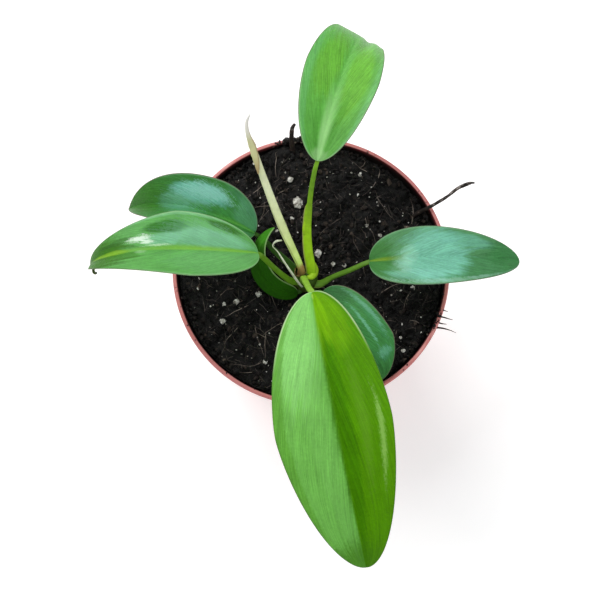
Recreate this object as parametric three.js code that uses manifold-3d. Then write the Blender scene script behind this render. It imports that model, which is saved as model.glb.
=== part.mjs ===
// A young narrow-leaved philodendron growing in a 12 cm nursery pot.
// Lengths are millimetres and angles are degrees. +Z is up, and the origin is the
// middle of the pot's underside. Looking down with +Y away from the viewer, the
// newest leaf reaches towards -Y and the older leaves lie round the crown.
import * as THREE from 'three'
import { mergeVertices } from 'three/addons/utils/BufferGeometryUtils.js'
import Module from 'manifold-3d'

const wasm = await Module()
wasm.setup()

// Pot: a thin pressed pot with a turned rim, a collar and a slightly raised foot.
const POT_SIDES = 56
const POT_HEIGHT = 105
const RIM_RADIUS = 60
const RIM_WIDTH = 1.8
const RIM_DEPTH = 2.4
const COLLAR_HEIGHT = 14
const COLLAR_STEP = 1.8
const BODY_TOP_RADIUS = 55.6
const BASE_RADIUS = 42
const WALL = 1.2
const FLOOR = 3
const FOOT_RISE = 1.8
const CENTRE_PAD_RADIUS = 12
const FOOT_RING_WIDTH = 3.8
const DRAIN_HOLES = 8
const DRAIN_HOLE_RADIUS = 3.4
const DRAIN_CIRCLE_RADIUS = 27

// Soil: filled nearly to the rim and heaped at the back.
const SOIL_RINGS = 15
const SOIL_LEVEL = 101.2
const GRAIN_SEED = 1207

// Clear space between pieces that touch.
const GAP = 0.3

// Stem: the short crown that every leaf grows from.
const STEM_CENTRE = [-2.3, -5.2]
const STEM_FOOT = 86
const STEM_TOP = 109.1
const STEM_OUTLINE = [[4.2, STEM_FOOT], [4.4, 97], [5, 102], [5.1, 105], [4.4, 107.2], [2.6, 108.6]]

// Blades: how thick a leaf is, and how far its rib stands out underneath.
const BLADE_THICKNESS = 0.7
const RIB_RELIEF = 0.7
const RIB_SHARE = 0.09
const MIDRIB_STEPS = 80
const END_HALF_WIDTH = 0.5

// Leaves. base is where the stalk meets the blade and heading is the blade's compass
// direction from +X. rise and droop are the midrib's slope at the base and its loss
// towards the tip, swerve turns it sideways, roll leans the blade about its midrib,
// and fold and curl are the angles of the two halves at the rib and towards the edge.
// The stalk runs through the points of its path to the base; sheath is the extra half
// width of its clasping lower part, which ends at the share sheathEnd of its length.
const LEAVES = [
  {
    name: 'front_leaf', colour: 0x6fae2c,
    base: [-1.4, -24.3, 160], heading: -81.4, swerve: 4.8, rise: 21, droop: 52, droopPower: 1.2,
    length: 109, width: 48, widest: 0.51, baseFull: 1.65, tipFull: 1.44, tipSharp: 0.62,
    fold: 30, curl: 10, roll: -14, rows: 24,
    path: [[-3.2, -6.6, 107], [-3.5, -7.5, 116], [-2.8, -13.5, 131], [-2, -19.8, 147]],
    stalk: { colour: 0x86b53a, foot: 1.5, top: 1.15, sheath: 0.3, sheathEnd: 0.3 },
  },
  {
    name: 'back_leaf', colour: 0x5da345,
    base: [1.3, 32.4, 150], heading: 76, swerve: -11, rise: 38, droop: 143, droopPower: 1.3,
    length: 91.6, width: 31, widest: 0.42, baseFull: 1.78, tipFull: 1.35, tipSharp: 0.53,
    fold: 2, curl: 0, roll: -5, rows: 20,
    path: [[0.4, -4.4, 107], [0.1, -1.6, 110.5], [-1.4, 5.7, 116], [-1.9, 13.8, 123],
      [-1.1, 23.1, 135], [0.2, 29.2, 146]],
    stalk: { colour: 0x7fa51f, foot: 1.6, top: 1.2, sheath: 0.9, sheathEnd: 0.62 },
  },
  {
    name: 'right_leaf', colour: 0x4d9457,
    base: [23.8, -1.5, 122], heading: 2, swerve: -2, rise: 20, droop: 45, droopPower: 1,
    length: 65.5, width: 27, widest: 0.38, baseFull: 2.24, tipFull: 1.63, tipSharp: 0.55,
    fold: 18, curl: 20, roll: 9, rows: 18,
    path: [[-1, -6.4, 104.6], [3.7, -7.5, 105.8], [9.1, -5.4, 110], [16.1, -3.9, 116]],
    stalk: { colour: 0x4f7a26, foot: 1.3, top: 1, sheath: 0.8, sheathEnd: 0.45 },
  },
  {
    name: 'left_front_leaf', colour: 0x489a3f,
    base: [-22.4, -2.7, 138], heading: 184, swerve: 5, rise: 30, droop: 141, droopPower: 3.2,
    length: 84, width: 32.5, widest: 0.4, baseFull: 1.97, tipFull: 1.39, tipSharp: 1.2,
    fold: 23, curl: 20, roll: -20, rows: 22,
    path: [[-5, -6, 105.4], [-9.2, -7.4, 111.2], [-15.7, -4.9, 121.8], [-19.8, -3.4, 131.2]],
    stalk: { colour: 0x568a1d, foot: 1.3, top: 1.1, sheath: 0.5, sheathEnd: 0.4 },
  },
  {
    name: 'left_back_leaf', colour: 0x3c8a4c,
    base: [-24.2, 12, 117], heading: 157, swerve: 19, rise: 24, droop: 85, droopPower: 1.4,
    length: 64.7, width: 29.5, widest: 0.32, baseFull: 1.79, tipFull: 2.48, tipSharp: 1.12,
    fold: 34, curl: 6, roll: -8, rows: 18,
    path: [[-5, -3.2, 103.8], [-9.3, 1, 106.2], [-15.3, 5.6, 109.4], [-20.4, 9.6, 113.6]],
    stalk: { colour: 0x3d6d1f, foot: 1.3, top: 0.9, sheath: 1.1, sheathEnd: 0.75 },
  },
  {
    name: 'low_front_leaf', colour: 0x3f8b44,
    base: [4, -13.5, 115], heading: -51, swerve: -10, rise: 25, droop: 60, droopPower: 1,
    length: 46.7, width: 27.7, widest: 0.66, baseFull: 2.23, tipFull: 1.3, tipSharp: 0.64,
    fold: 12, curl: 15, roll: -16, rows: 16,
    path: [[-1.7, -7.8, 104], [-0.3, -10.6, 106], [1.9, -12.3, 110.4]],
    stalk: { colour: 0x45741f, foot: 1.2, top: 0.95, sheath: 0.5, sheathEnd: 0.5 },
  },
  {
    name: 'crown_leaf', colour: 0x2f6d1b,
    base: [-5.9, -10.6, 103.6], heading: 192, swerve: -165, swervePower: 1.08, rise: 24, droop: 0,
    droopPower: 1,
    length: 41.8, width: 8.6, widest: 0.46, baseFull: 2.9, tipFull: 1.23, tipSharp: 0.68,
    fold: 8, curl: 15, roll: 16, rows: 16,
    path: [[-3.2, -7, 102.8], [-4.9, -9.9, 103]],
    stalk: { colour: 0x35621b, foot: 1.1, top: 0.95, sheath: 0.4, sheathEnd: 0.6 },
  },
]

// Half-width share of a blade's columns, with two close to the rib for its ridge.
const COLUMNS = [-1, -0.72, -0.4, -RIB_SHARE, 0, RIB_SHARE, 0.4, 0.72, 1]

// The rolled cream sheath of the next leaf, with its dry brown foot.
const SHEATH_PATH = [[-4.8, -3.4, 107.4], [-5.1, -1.4, 113.4], [-12.9, 12.4, 126], [-19.9, 26.3, 141.5],
  [-24, 35.4, 153], [-27, 41.8, 160], [-25.6, 46.6, 165.6]]
const SHEATH_RADII = [1.8, 1.7, 2.1, 1.9, 1.4, 0.65, 0.35]

// A dried strip of an old sheath, hooked at its end.
const STRIP_PATH = [[-4, -9.2, 107.4], [-5.9, -8.6, 113.4], [-10.4, -3.2, 118], [-14.4, 2.6, 120],
  [-16.6, 5.1, 120.6], [-15.3, 7.4, 120], [-12.8, 8.3, 118.6]]
const STRIP_RADII = [0.45, 0.45, 0.42, 0.42, 0.45, 0.42, 0.36]

// Dry roots: one leans out over the rim at the right, one is a stub at the back.
const ROOT_PATH = [[42.5, 23.4, 96], [44.7, 24.7, 100], [48.4, 26.2, 104], [52, 27.2, 107.4],
  [58.2, 30.5, 109.3], [63.8, 34.6, 110.6], [68.1, 36.6, 111.6], [71, 36.9, 111.4]]
const ROOT_RADII = [0.9, 1, 0.9, 0.75, 0.65, 0.7, 0.55, 0.4]
const STUB_PATH = [[-7.6, 50.8, 96], [-8, 53, 102], [-8.6, 56.4, 109], [-8.6, 60.2, 113.2],
  [-7.4, 63, 112.8]]
const STUB_RADII = [1.1, 1, 0.8, 0.75, 0.5]

const radians = THREE.MathUtils.degToRad
const vector = ([x, y, z]) => new THREE.Vector3(x, y, z)

// A closed mesh with only shared positions left, ready to be joined or cut.
function solidOf(geometry) {
  const bare = geometry.clone()
  bare.deleteAttribute('normal')
  bare.deleteAttribute('uv')
  const merged = mergeVertices(bare, 1e-4)
  return new wasm.Manifold(new wasm.Mesh({
    numProp: 3,
    vertProperties: new Float32Array(merged.attributes.position.array),
    triVerts: new Uint32Array(merged.index.array),
  }))
}

function geometryOf(solid) {
  const { vertProperties, triVerts } = solid.getMesh()
  const geometry = new THREE.BufferGeometry()
  geometry.setAttribute('position', new THREE.BufferAttribute(vertProperties, 3))
  geometry.setIndex(new THREE.BufferAttribute(triVerts, 1))
  geometry.computeVertexNormals()
  return geometry
}

function cutBy(geometry, ...cutters) {
  return geometryOf(cutters.reduce((body, cutter) => body.subtract(solidOf(cutter)), solidOf(geometry)))
}

// A turned shape from [radius, height] pairs, upright on the Z axis.
function turned(profile, sides = POT_SIDES) {
  const points = profile.map(([radius, height]) => new THREE.Vector2(radius, height))
  return new THREE.LatheGeometry(points, sides).rotateX(Math.PI / 2)
}

// A value read off an evenly spaced list of values.
function along(values, share) {
  const place = share * (values.length - 1)
  const index = Math.min(Math.floor(place), values.length - 2)
  return THREE.MathUtils.lerp(values[index], values[index + 1], place - index)
}

// A round or oval rod along a smooth path. size(share) gives the half width, the half
// depth and the depth of the groove on its upper side; side is the way its width lies.
function rod(path, side, size, sides = 8, stepsPerPoint = 4) {
  const curve = new THREE.CatmullRomCurve3(path.map(vector), false, 'catmullrom', 0.5)
  const rings = (path.length - 1) * stepsPerPoint
  const geometry = new THREE.CylinderGeometry(1, 1, 1, sides, rings)
  const places = geometry.attributes.position
  for (let i = 0; i < places.count; i += 1) {
    const across = places.getX(i)
    const upward = places.getZ(i)
    const share = THREE.MathUtils.clamp(places.getY(i) + 0.5, 0, 1)
    const tangent = curve.getTangent(share)
    const right = side.clone().addScaledVector(tangent, -side.dot(tangent)).normalize()
    const top = right.clone().cross(tangent)
    const { half, depth, groove = 0 } = size(share)
    const dip = upward > 0.5 ? groove * (1 - Math.abs(across)) : 0
    const point = curve.getPoint(share)
      .addScaledVector(right, across * half)
      .addScaledVector(top, upward * depth - dip)
    places.setXYZ(i, point.x, point.y, point.z)
  }
  return geometry
}

function taperedRod(path, radii, sides) {
  const side = new THREE.Vector3(1, 0, 0)
  return rod(path, side, (share) => {
    const radius = along(radii, share)
    return { half: radius, depth: radius }
  }, sides)
}

// Pot.
function innerRadiusAt(height) {
  const stepHeight = POT_HEIGHT - COLLAR_HEIGHT
  if (height > stepHeight) {
    const lift = (height - stepHeight) / COLLAR_HEIGHT
    return THREE.MathUtils.lerp(BODY_TOP_RADIUS + COLLAR_STEP - 1, RIM_RADIUS - RIM_WIDTH, lift)
  }
  const lift = (height - FLOOR) / (stepHeight - FLOOR)
  return THREE.MathUtils.lerp(BASE_RADIUS, BODY_TOP_RADIUS, lift) - WALL
}

function potGeometry() {
  const stepHeight = POT_HEIGHT - COLLAR_HEIGHT
  const ringOuter = BASE_RADIUS - 0.6
  const ringInner = ringOuter - FOOT_RING_WIDTH
  const rimInner = RIM_RADIUS - RIM_WIDTH
  const collarOuter = BODY_TOP_RADIUS + COLLAR_STEP
  const profile = [
    [0, 0], [CENTRE_PAD_RADIUS, 0], [CENTRE_PAD_RADIUS + FOOT_RISE, FOOT_RISE],
    [ringInner - FOOT_RISE, FOOT_RISE], [ringInner, 0], [ringOuter, 0], [BASE_RADIUS, 0.8],
    [BODY_TOP_RADIUS, stepHeight - 1.4], [collarOuter, stepHeight],
    [rimInner + WALL, POT_HEIGHT - RIM_DEPTH], [RIM_RADIUS, POT_HEIGHT - RIM_DEPTH + 0.3],
    [RIM_RADIUS, POT_HEIGHT - 0.5], [RIM_RADIUS - 0.5, POT_HEIGHT],
    [rimInner + 0.3, POT_HEIGHT], [rimInner, POT_HEIGHT - 0.4],
    [innerRadiusAt(stepHeight + 0.6), stepHeight + 0.6], [innerRadiusAt(stepHeight - 1), stepHeight - 1],
    [innerRadiusAt(FLOOR), FLOOR], [0, FLOOR],
  ]
  const holes = []
  for (let i = 0; i < DRAIN_HOLES; i += 1) {
    const turn = (i + 0.5) / DRAIN_HOLES * 2 * Math.PI
    const hole = new THREE.CylinderGeometry(DRAIN_HOLE_RADIUS, DRAIN_HOLE_RADIUS, 4 * FLOOR, 12)
    hole.rotateX(Math.PI / 2)
    hole.translate(DRAIN_CIRCLE_RADIUS * Math.cos(turn), DRAIN_CIRCLE_RADIUS * Math.sin(turn), FLOOR / 2)
    holes.push(hole)
  }
  return cutBy(turned(profile), ...holes)
}

// Stem. Grown by extra millimetres all round, it cuts what clasps it and its own hole.
function stemGeometry(extra = 0) {
  const middle = (STEM_FOOT + STEM_TOP) / 2
  const grown = (height) => height + (height > middle ? extra : -extra)
  const sides = STEM_OUTLINE.map(([radius, height]) => [radius + extra, grown(height)])
  return turned([[0, grown(STEM_FOOT)], ...sides, [0, grown(STEM_TOP)]], 16)
    .translate(...STEM_CENTRE, 0)
}

// Soil. Its surface is the level, with wide heaps and small clods on it.
const HEAPS = [
  { x: -10, y: 52, height: 3, spread: 13 },
  { x: -3, y: -6, height: -0.4, spread: 13 },
  { x: -46, y: 14, height: 0.8, spread: 18 },
  { x: -8, y: -50, height: 1.4, spread: 24 },
  { x: 38, y: 30, height: -1, spread: 20 },
]
const CLODS = [
  { size: 0.55, x: 0.42, y: 0.23, phase: 0.4 },
  { size: 0.5, x: -0.31, y: 0.51, phase: 2.1 },
  { size: 0.4, x: 0.77, y: -0.62, phase: 4.4 },
  { size: 0.35, x: 0.95, y: 0.88, phase: 1.2 },
]

function soilHeight(x, y) {
  let height = SOIL_LEVEL
  for (const heap of HEAPS) {
    const far = ((x - heap.x) ** 2 + (y - heap.y) ** 2) / heap.spread ** 2
    height += heap.height * Math.exp(-far)
  }
  for (const clod of CLODS) height += clod.size * Math.sin(clod.x * x + clod.y * y + clod.phase)
  return height
}

// White grains: the ones that show, then a seeded scatter of smaller ones.
const GRAINS = [
  [-5.7, 30.5, 2.3], [2.8, 7.3, 1.8], [-22.6, -11.2, 1.3], [-9.3, 40.9, 1.2], [-38.2, -23.3, 1.2],
  [-32.3, -14.6, 1.2], [9.6, 2.8, 1], [14.6, 2, 0.9], [-24.9, 48.3, 0.9], [-37.7, -15.4, 0.9],
  [-8.4, 23.1, 0.9], [-14.8, 17.2, 0.9], [39.4, -35.9, 0.9],
]
const SCATTERED_GRAINS = 14

function seeded(seed) {
  let state = seed
  return () => {
    state = state * 16807 % 2147483647
    return state / 2147483647
  }
}

function grainPlaces() {
  const random = seeded(GRAIN_SEED)
  const places = GRAINS.map(([x, y, radius]) => ({ x, y, radius }))
  for (let i = 0; i < SCATTERED_GRAINS; i += 1) {
    const reach = 12 + 38 * Math.sqrt(random())
    const turn = 2 * Math.PI * random()
    const radius = 0.7 + 0.4 * random()
    places.push({ x: reach * Math.cos(turn), y: reach * Math.sin(turn), radius })
  }
  return places
}

function soilGeometry(cutters) {
  const low = FLOOR + GAP
  const stepHeight = POT_HEIGHT - COLLAR_HEIGHT
  const edge = innerRadiusAt(SOIL_LEVEL) - 1.5 * GAP
  const side = [low, stepHeight - 0.8, stepHeight + 1.4].map((z) => [innerRadiusAt(z) - 1.5 * GAP, z])
  const surface = []
  for (let i = 0; i <= SOIL_RINGS; i += 1) surface.push([edge * (1 - i / SOIL_RINGS), SOIL_LEVEL])
  const geometry = turned([[0, low], ...side, ...surface])
  const places = geometry.attributes.position
  for (let i = 0; i < places.count; i += 1) {
    if (places.getZ(i) > SOIL_LEVEL - 0.01) {
      places.setZ(i, soilHeight(places.getX(i), places.getY(i)))
    }
  }
  let body = solidOf(geometry)
  for (const { x, y, radius } of grainPlaces()) {
    const grain = new THREE.IcosahedronGeometry(radius, 0)
    grain.rotateZ(x + y)
    grain.translate(x, y, soilHeight(x, y) - 0.3 * radius)
    body = body.add(solidOf(grain))
  }
  for (const cutter of cutters) body = body.subtract(solidOf(cutter))
  return geometryOf(body)
}

// Blades. The outline is an arc from the base to the widest place and another to the tip.
function widthShare(leaf, s) {
  if (s < leaf.widest) {
    const back = (leaf.widest - s) / leaf.widest
    return (1 - back ** leaf.baseFull) ** (1 / leaf.baseFull)
  }
  const ahead = (s - leaf.widest) / (1 - leaf.widest)
  return Math.max(0, 1 - ahead ** leaf.tipFull) ** leaf.tipSharp
}

// The directions of a blade at the share s of its length: along, right and face.
function bladeFrame(leaf, s) {
  const heading = radians(leaf.heading + leaf.swerve * s ** (leaf.swervePower ?? 1))
  const slope = radians(leaf.rise - leaf.droop * s ** leaf.droopPower)
  const ahead = vector([
    Math.cos(slope) * Math.cos(heading), Math.cos(slope) * Math.sin(heading), Math.sin(slope),
  ])
  const level = vector([Math.sin(heading), -Math.cos(heading), 0])
  const upright = level.clone().cross(ahead)
  const lean = radians(leaf.roll)
  const right = level.clone().multiplyScalar(Math.cos(lean)).addScaledVector(upright, Math.sin(lean))
  const face = upright.clone().multiplyScalar(Math.cos(lean)).addScaledVector(level, -Math.sin(lean))
  return { ahead, right, face }
}

function midribPoint(leaf, s) {
  const point = vector(leaf.base)
  const step = s * leaf.length / MIDRIB_STEPS
  for (let i = 0; i < MIDRIB_STEPS; i += 1) {
    point.addScaledVector(bladeFrame(leaf, s * (i + 0.5) / MIDRIB_STEPS).ahead, step)
  }
  return point
}

// Across the blade each half leaves the rib at the fold angle and bends by curl.
function crossPoint(leaf, t, halfWidth) {
  const fold = radians(leaf.fold)
  const curl = radians(leaf.curl)
  const a = Math.abs(t)
  if (leaf.curl === 0) {
    return { out: Math.sign(t) * Math.cos(fold) * a * halfWidth, up: Math.sin(fold) * a * halfWidth }
  }
  const out = (Math.sin(fold) - Math.sin(fold - curl * a)) / curl
  const up = (Math.cos(fold - curl * a) - Math.cos(fold)) / curl
  return { out: Math.sign(t) * out * halfWidth, up: up * halfWidth }
}

// A blade is one closed sheet: an upper and a lower grid with the same diagonals,
// joined round the edge. The rib stands out of the lower one.
function bladeGeometry(leaf) {
  const rows = leaf.rows
  const perSide = COLUMNS.length
  const upper = []
  const lower = []
  for (let i = 0; i <= rows; i += 1) {
    const s = 0.5 - 0.5 * Math.cos(Math.PI * i / rows)
    const { right, face } = bladeFrame(leaf, s)
    const rib = midribPoint(leaf, s)
    const half = Math.max(END_HALF_WIDTH, leaf.width / 2 * widthShare(leaf, s))
    const ridge = RIB_RELIEF * (1 - 0.8 * s)
    for (const t of COLUMNS) {
      const { out, up } = crossPoint(leaf, t, half)
      const onFace = rib.clone().addScaledVector(right, out).addScaledVector(face, up)
      const depth = BLADE_THICKNESS + (t === 0 ? ridge : 0)
      upper.push(onFace)
      lower.push(onFace.clone().addScaledVector(face, -depth))
    }
  }
  const index = []
  const under = upper.length
  const at = (i, j) => i * perSide + j
  const quad = (a, b, c, d) => index.push(a, b, c, a, c, d)
  for (let i = 0; i < rows; i += 1) {
    for (let j = 0; j < perSide - 1; j += 1) {
      const [a, b, c, d] = [at(i, j), at(i, j + 1), at(i + 1, j + 1), at(i + 1, j)]
      quad(a, b, c, d)
      index.push(under + a, under + c, under + b, under + a, under + d, under + c)
    }
  }
  const border = []
  for (let j = 0; j < perSide - 1; j += 1) border.push(at(0, j))
  for (let i = 0; i < rows; i += 1) border.push(at(i, perSide - 1))
  for (let j = perSide - 1; j > 0; j -= 1) border.push(at(rows, j))
  for (let i = rows; i > 0; i -= 1) border.push(at(i, 0))
  border.forEach((here, k) => {
    const next = border[(k + 1) % border.length]
    quad(here, under + here, under + next, next)
  })
  const geometry = new THREE.BufferGeometry().setFromPoints([...upper, ...lower])
  geometry.setIndex(index)
  geometry.computeVertexNormals()
  return geometry
}

// A stalk clasps the stem below. Above, it is cut square just short of its blade.
function stalkGeometry(leaf, stem) {
  const { foot, top, sheath, sheathEnd } = leaf.stalk
  const { ahead, right, face } = bladeFrame(leaf, 0)
  const base = vector(leaf.base)
  const level = bladeFrame({ ...leaf, roll: 0 }, 0).right
  const end = base.clone().addScaledVector(ahead, 2 * GAP).toArray()
  const stalk = rod([...leaf.path, end], level, (share) => {
    const radius = THREE.MathUtils.lerp(foot, top, share)
    const wing = share < sheathEnd ? sheath * (1 - share / sheathEnd) ** 0.6 : 0
    return { half: radius + wing, depth: radius + 0.2 * wing, groove: 0.25 * radius + 0.3 * wing }
  })
  const reach = 6
  const beyond = new THREE.BoxGeometry(reach, reach, reach).translate(0, 0, reach / 2 - GAP)
  beyond.applyMatrix4(new THREE.Matrix4().makeBasis(face, right, ahead).setPosition(base))
  return cutBy(stalk, stem, beyond)
}

const plant = new THREE.Group()

function add(name, geometry, color, roughness, group = plant) {
  const material = new THREE.MeshStandardMaterial({ color, roughness, metalness: 0 })
  const mesh = new THREE.Mesh(geometry, material)
  mesh.name = name
  group.add(mesh)
}

const grownStem = stemGeometry(GAP)
const root = taperedRod(ROOT_PATH, ROOT_RADII, 6)
const stub = taperedRod(STUB_PATH, STUB_RADII, 6)
const wider = (radii) => radii.map((radius) => radius + 1.8 * GAP)
const deeper = ([[x, y, z], ...rest]) => [[x, y, z - 1.5 * GAP], ...rest]
const rootHole = taperedRod(deeper(ROOT_PATH), wider(ROOT_RADII), 6)
const stubHole = taperedRod(deeper(STUB_PATH), wider(STUB_RADII), 6)

add('pot', potGeometry(), 0xb5695c, 0.5)
add('soil', soilGeometry([grownStem, rootHole, stubHole]), 0x1f1916, 0.95)
add('stem', stemGeometry(), 0x4d5a26, 0.6)
for (const leaf of LEAVES) {
  const group = new THREE.Group()
  add(`${leaf.name}_blade`, bladeGeometry(leaf), leaf.colour, 0.35, group)
  add(`${leaf.name}_stalk`, stalkGeometry(leaf, grownStem), leaf.stalk.colour, 0.4, group)
  plant.add(group)
}
add('new_leaf_sheath', cutBy(taperedRod(SHEATH_PATH, SHEATH_RADII, 8), grownStem), 0xdfe3a4, 0.55)
add('dried_strip', cutBy(taperedRod(STRIP_PATH, STRIP_RADII, 6), grownStem), 0xc9cdb2, 0.8)
add('dry_root', root, 0x2a1d18, 0.9)
add('root_stub', stub, 0x1d1512, 0.9)

export default plant
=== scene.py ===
import math
import random
from functools import partial

import bmesh
import bpy
from mathutils import Euler, Matrix, Vector, noise


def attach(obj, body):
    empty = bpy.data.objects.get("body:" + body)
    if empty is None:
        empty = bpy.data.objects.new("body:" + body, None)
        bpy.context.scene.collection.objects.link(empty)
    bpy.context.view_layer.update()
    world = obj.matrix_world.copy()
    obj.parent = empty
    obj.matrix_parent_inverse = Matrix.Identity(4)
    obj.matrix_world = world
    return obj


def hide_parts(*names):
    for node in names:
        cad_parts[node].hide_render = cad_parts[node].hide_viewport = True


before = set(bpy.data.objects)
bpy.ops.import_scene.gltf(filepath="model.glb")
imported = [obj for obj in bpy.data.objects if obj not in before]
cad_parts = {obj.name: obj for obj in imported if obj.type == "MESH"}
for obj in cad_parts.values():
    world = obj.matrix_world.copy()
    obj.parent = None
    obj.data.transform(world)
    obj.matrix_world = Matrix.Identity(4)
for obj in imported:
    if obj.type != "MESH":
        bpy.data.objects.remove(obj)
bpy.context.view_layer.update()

# Pot. A 12 cm nursery pot formed from one thin sheet of brick-pink polypropylene, with a turned rim,
# a collar that stiffens it and drain holes in a raised floor. It stands on its foot ring, unfixed.
MM = 0.001
WELD = 0.001
POT_SPIN_STEPS = 168
POT_PROFILE = [
    (0, 0), (12, 0), (13.8, 1.8), (35.8, 1.8), (37.6, 0), (41.4, 0), (42, 0.8),
    (55.6, 89.6), (57.4, 91), (59.4, 102.6), (60, 102.9), (60, 104.5), (59.5, 105),
    (58.5, 105), (58.2, 104.6), (56.48, 91.6), (54.25, 90), (40.8, 3), (0, 3),
]
POT_EDGE_ROUNDING = 0.3
DRAIN_HOLES = 8
DRAIN_HOLE_RADIUS = 3.4
DRAIN_CIRCLE_RADIUS = 27
FLOOR_MIDDLE = 2.4
DRILL_LENGTH = 9
ROUNDED_BEND = math.radians(12)
SHARP_BEND = math.radians(35)
SOIL_LEVEL = 101.2


def linear(colour):
    """The linear RGBA of an sRGB hex colour."""
    channels = [(colour >> shift & 255) / 255 for shift in (16, 8, 0)]
    bent = [c / 12.92 if c <= 0.04045 else ((c + 0.055) / 1.055) ** 2.4 for c in channels]
    return (*bent, 1)


def add_node(tree, kind, inputs=(), stops=(), **settings):
    """One node. Its inputs are given in their order or by name. Each takes a value, an output, or a
    node, of which it takes the first output."""
    node = tree.nodes.new("ShaderNode" + kind)
    for name, value in settings.items():
        setattr(node, name, value)
    for place, (position, colour) in enumerate(stops):
        stop = node.color_ramp.elements[place] if place < 2 else node.color_ramp.elements.new(position)
        stop.position = position
        stop.color = linear(colour)
    for name, value in inputs.items() if isinstance(inputs, dict) else enumerate(inputs):
        if isinstance(value, bpy.types.Node):
            value = value.outputs[0]
        if isinstance(value, bpy.types.NodeSocket):
            tree.links.new(value, node.inputs[name])
        else:
            node.inputs[name].default_value = value
    return node


def new_material(name):
    """A material, what adds a node to it, and the place in the plant's frame that its patterns use."""
    material = bpy.data.materials.new(name)
    material.use_nodes = True
    material.node_tree.nodes.clear()
    add = partial(add_node, material.node_tree)
    return material, add, add("TexCoord").outputs["Object"]


def close_material(material, colour, roughness, ior, mirror, bump=None, depth=None, glow=None):
    """Adds the surface. mirror is how strongly it reflects, bump is a height, a strength and a distance
    in metres, depth is how much light enters and how far each colour of it gets, and glow is a strength."""
    inputs = {"Base Color": colour, "Roughness": roughness, "IOR": ior, "Specular IOR Level": mirror}
    if bump:
        relief = dict(zip(("Height", "Strength", "Distance"), bump))
        inputs["Normal"] = add_node(material.node_tree, "Bump", relief)
    if depth:
        inputs["Subsurface Weight"], inputs["Subsurface Radius"] = depth
    if glow:
        inputs["Emission Color"], inputs["Emission Strength"] = linear(0xFFFFFF), glow
    surface = add_node(material.node_tree, "BsdfPrincipled", inputs)
    add_node(material.node_tree, "OutputMaterial", {"Surface": surface})
    return material


def plant_tissue(name, pull, scale, detail, stops, roughness, ior, mirror, bump=None):
    """Dry or dead plant tissue: one pattern, drawn out by pull, gives both its tones and its relief,
    which has a strength and a distance."""
    material, add, place = new_material(name)
    drawn_out = add("Mapping", {"Vector": place, "Scale": pull})
    fibres = add("TexNoise", {"Vector": drawn_out, "Scale": scale, "Detail": detail})
    colour = add("ValToRGB", (fibres,), stops=stops)
    return close_material(material, colour, roughness, ior, mirror, bump and (fibres, *bump))


def turned_body(profile, steps):
    """A closed body turned round the pot's axis from a profile of radii and heights."""
    bm = bmesh.new()
    corners = [bm.verts.new((radius, 0, height)) for radius, height in profile]
    outline = [bm.edges.new(pair) for pair in zip(corners, corners[1:])]
    bmesh.ops.spin(bm, geom=corners + outline, cent=(0, 0, 0), axis=(0, 0, 1), dvec=(0, 0, 0),
                   angle=2 * math.pi, steps=steps, use_merge=True, use_duplicate=False)
    bmesh.ops.remove_doubles(bm, verts=bm.verts, dist=WELD)
    bmesh.ops.recalc_face_normals(bm, faces=bm.faces)
    return bm


def turned(reach, turn):
    """The place at a reach from an axis and a turn round it."""
    return reach * math.cos(turn), reach * math.sin(turn)


def round_place(draw, reach):
    """A place drawn evenly from a disc round the pot's axis."""
    far = reach * math.sqrt(draw.random())
    return turned(far, draw.uniform(0, 2 * math.pi))


def finish_piece(bm, name, materials, slot, *nodes, smooth=True):
    """Makes the bmesh, drawn in millimetres, a piece that rides on the plant."""
    bmesh.ops.scale(bm, vec=(MM, MM, MM), verts=bm.verts)
    mesh = bpy.data.meshes.new(name)
    bm.to_mesh(mesh)
    bm.free()
    if smooth:
        mesh.shade_smooth()
    for material in materials:
        mesh.materials.append(material)
    piece = bpy.data.objects.new(name, mesh)
    bpy.context.scene.collection.objects.link(piece)
    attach(piece, "root")
    if nodes:
        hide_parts(*nodes)


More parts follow.
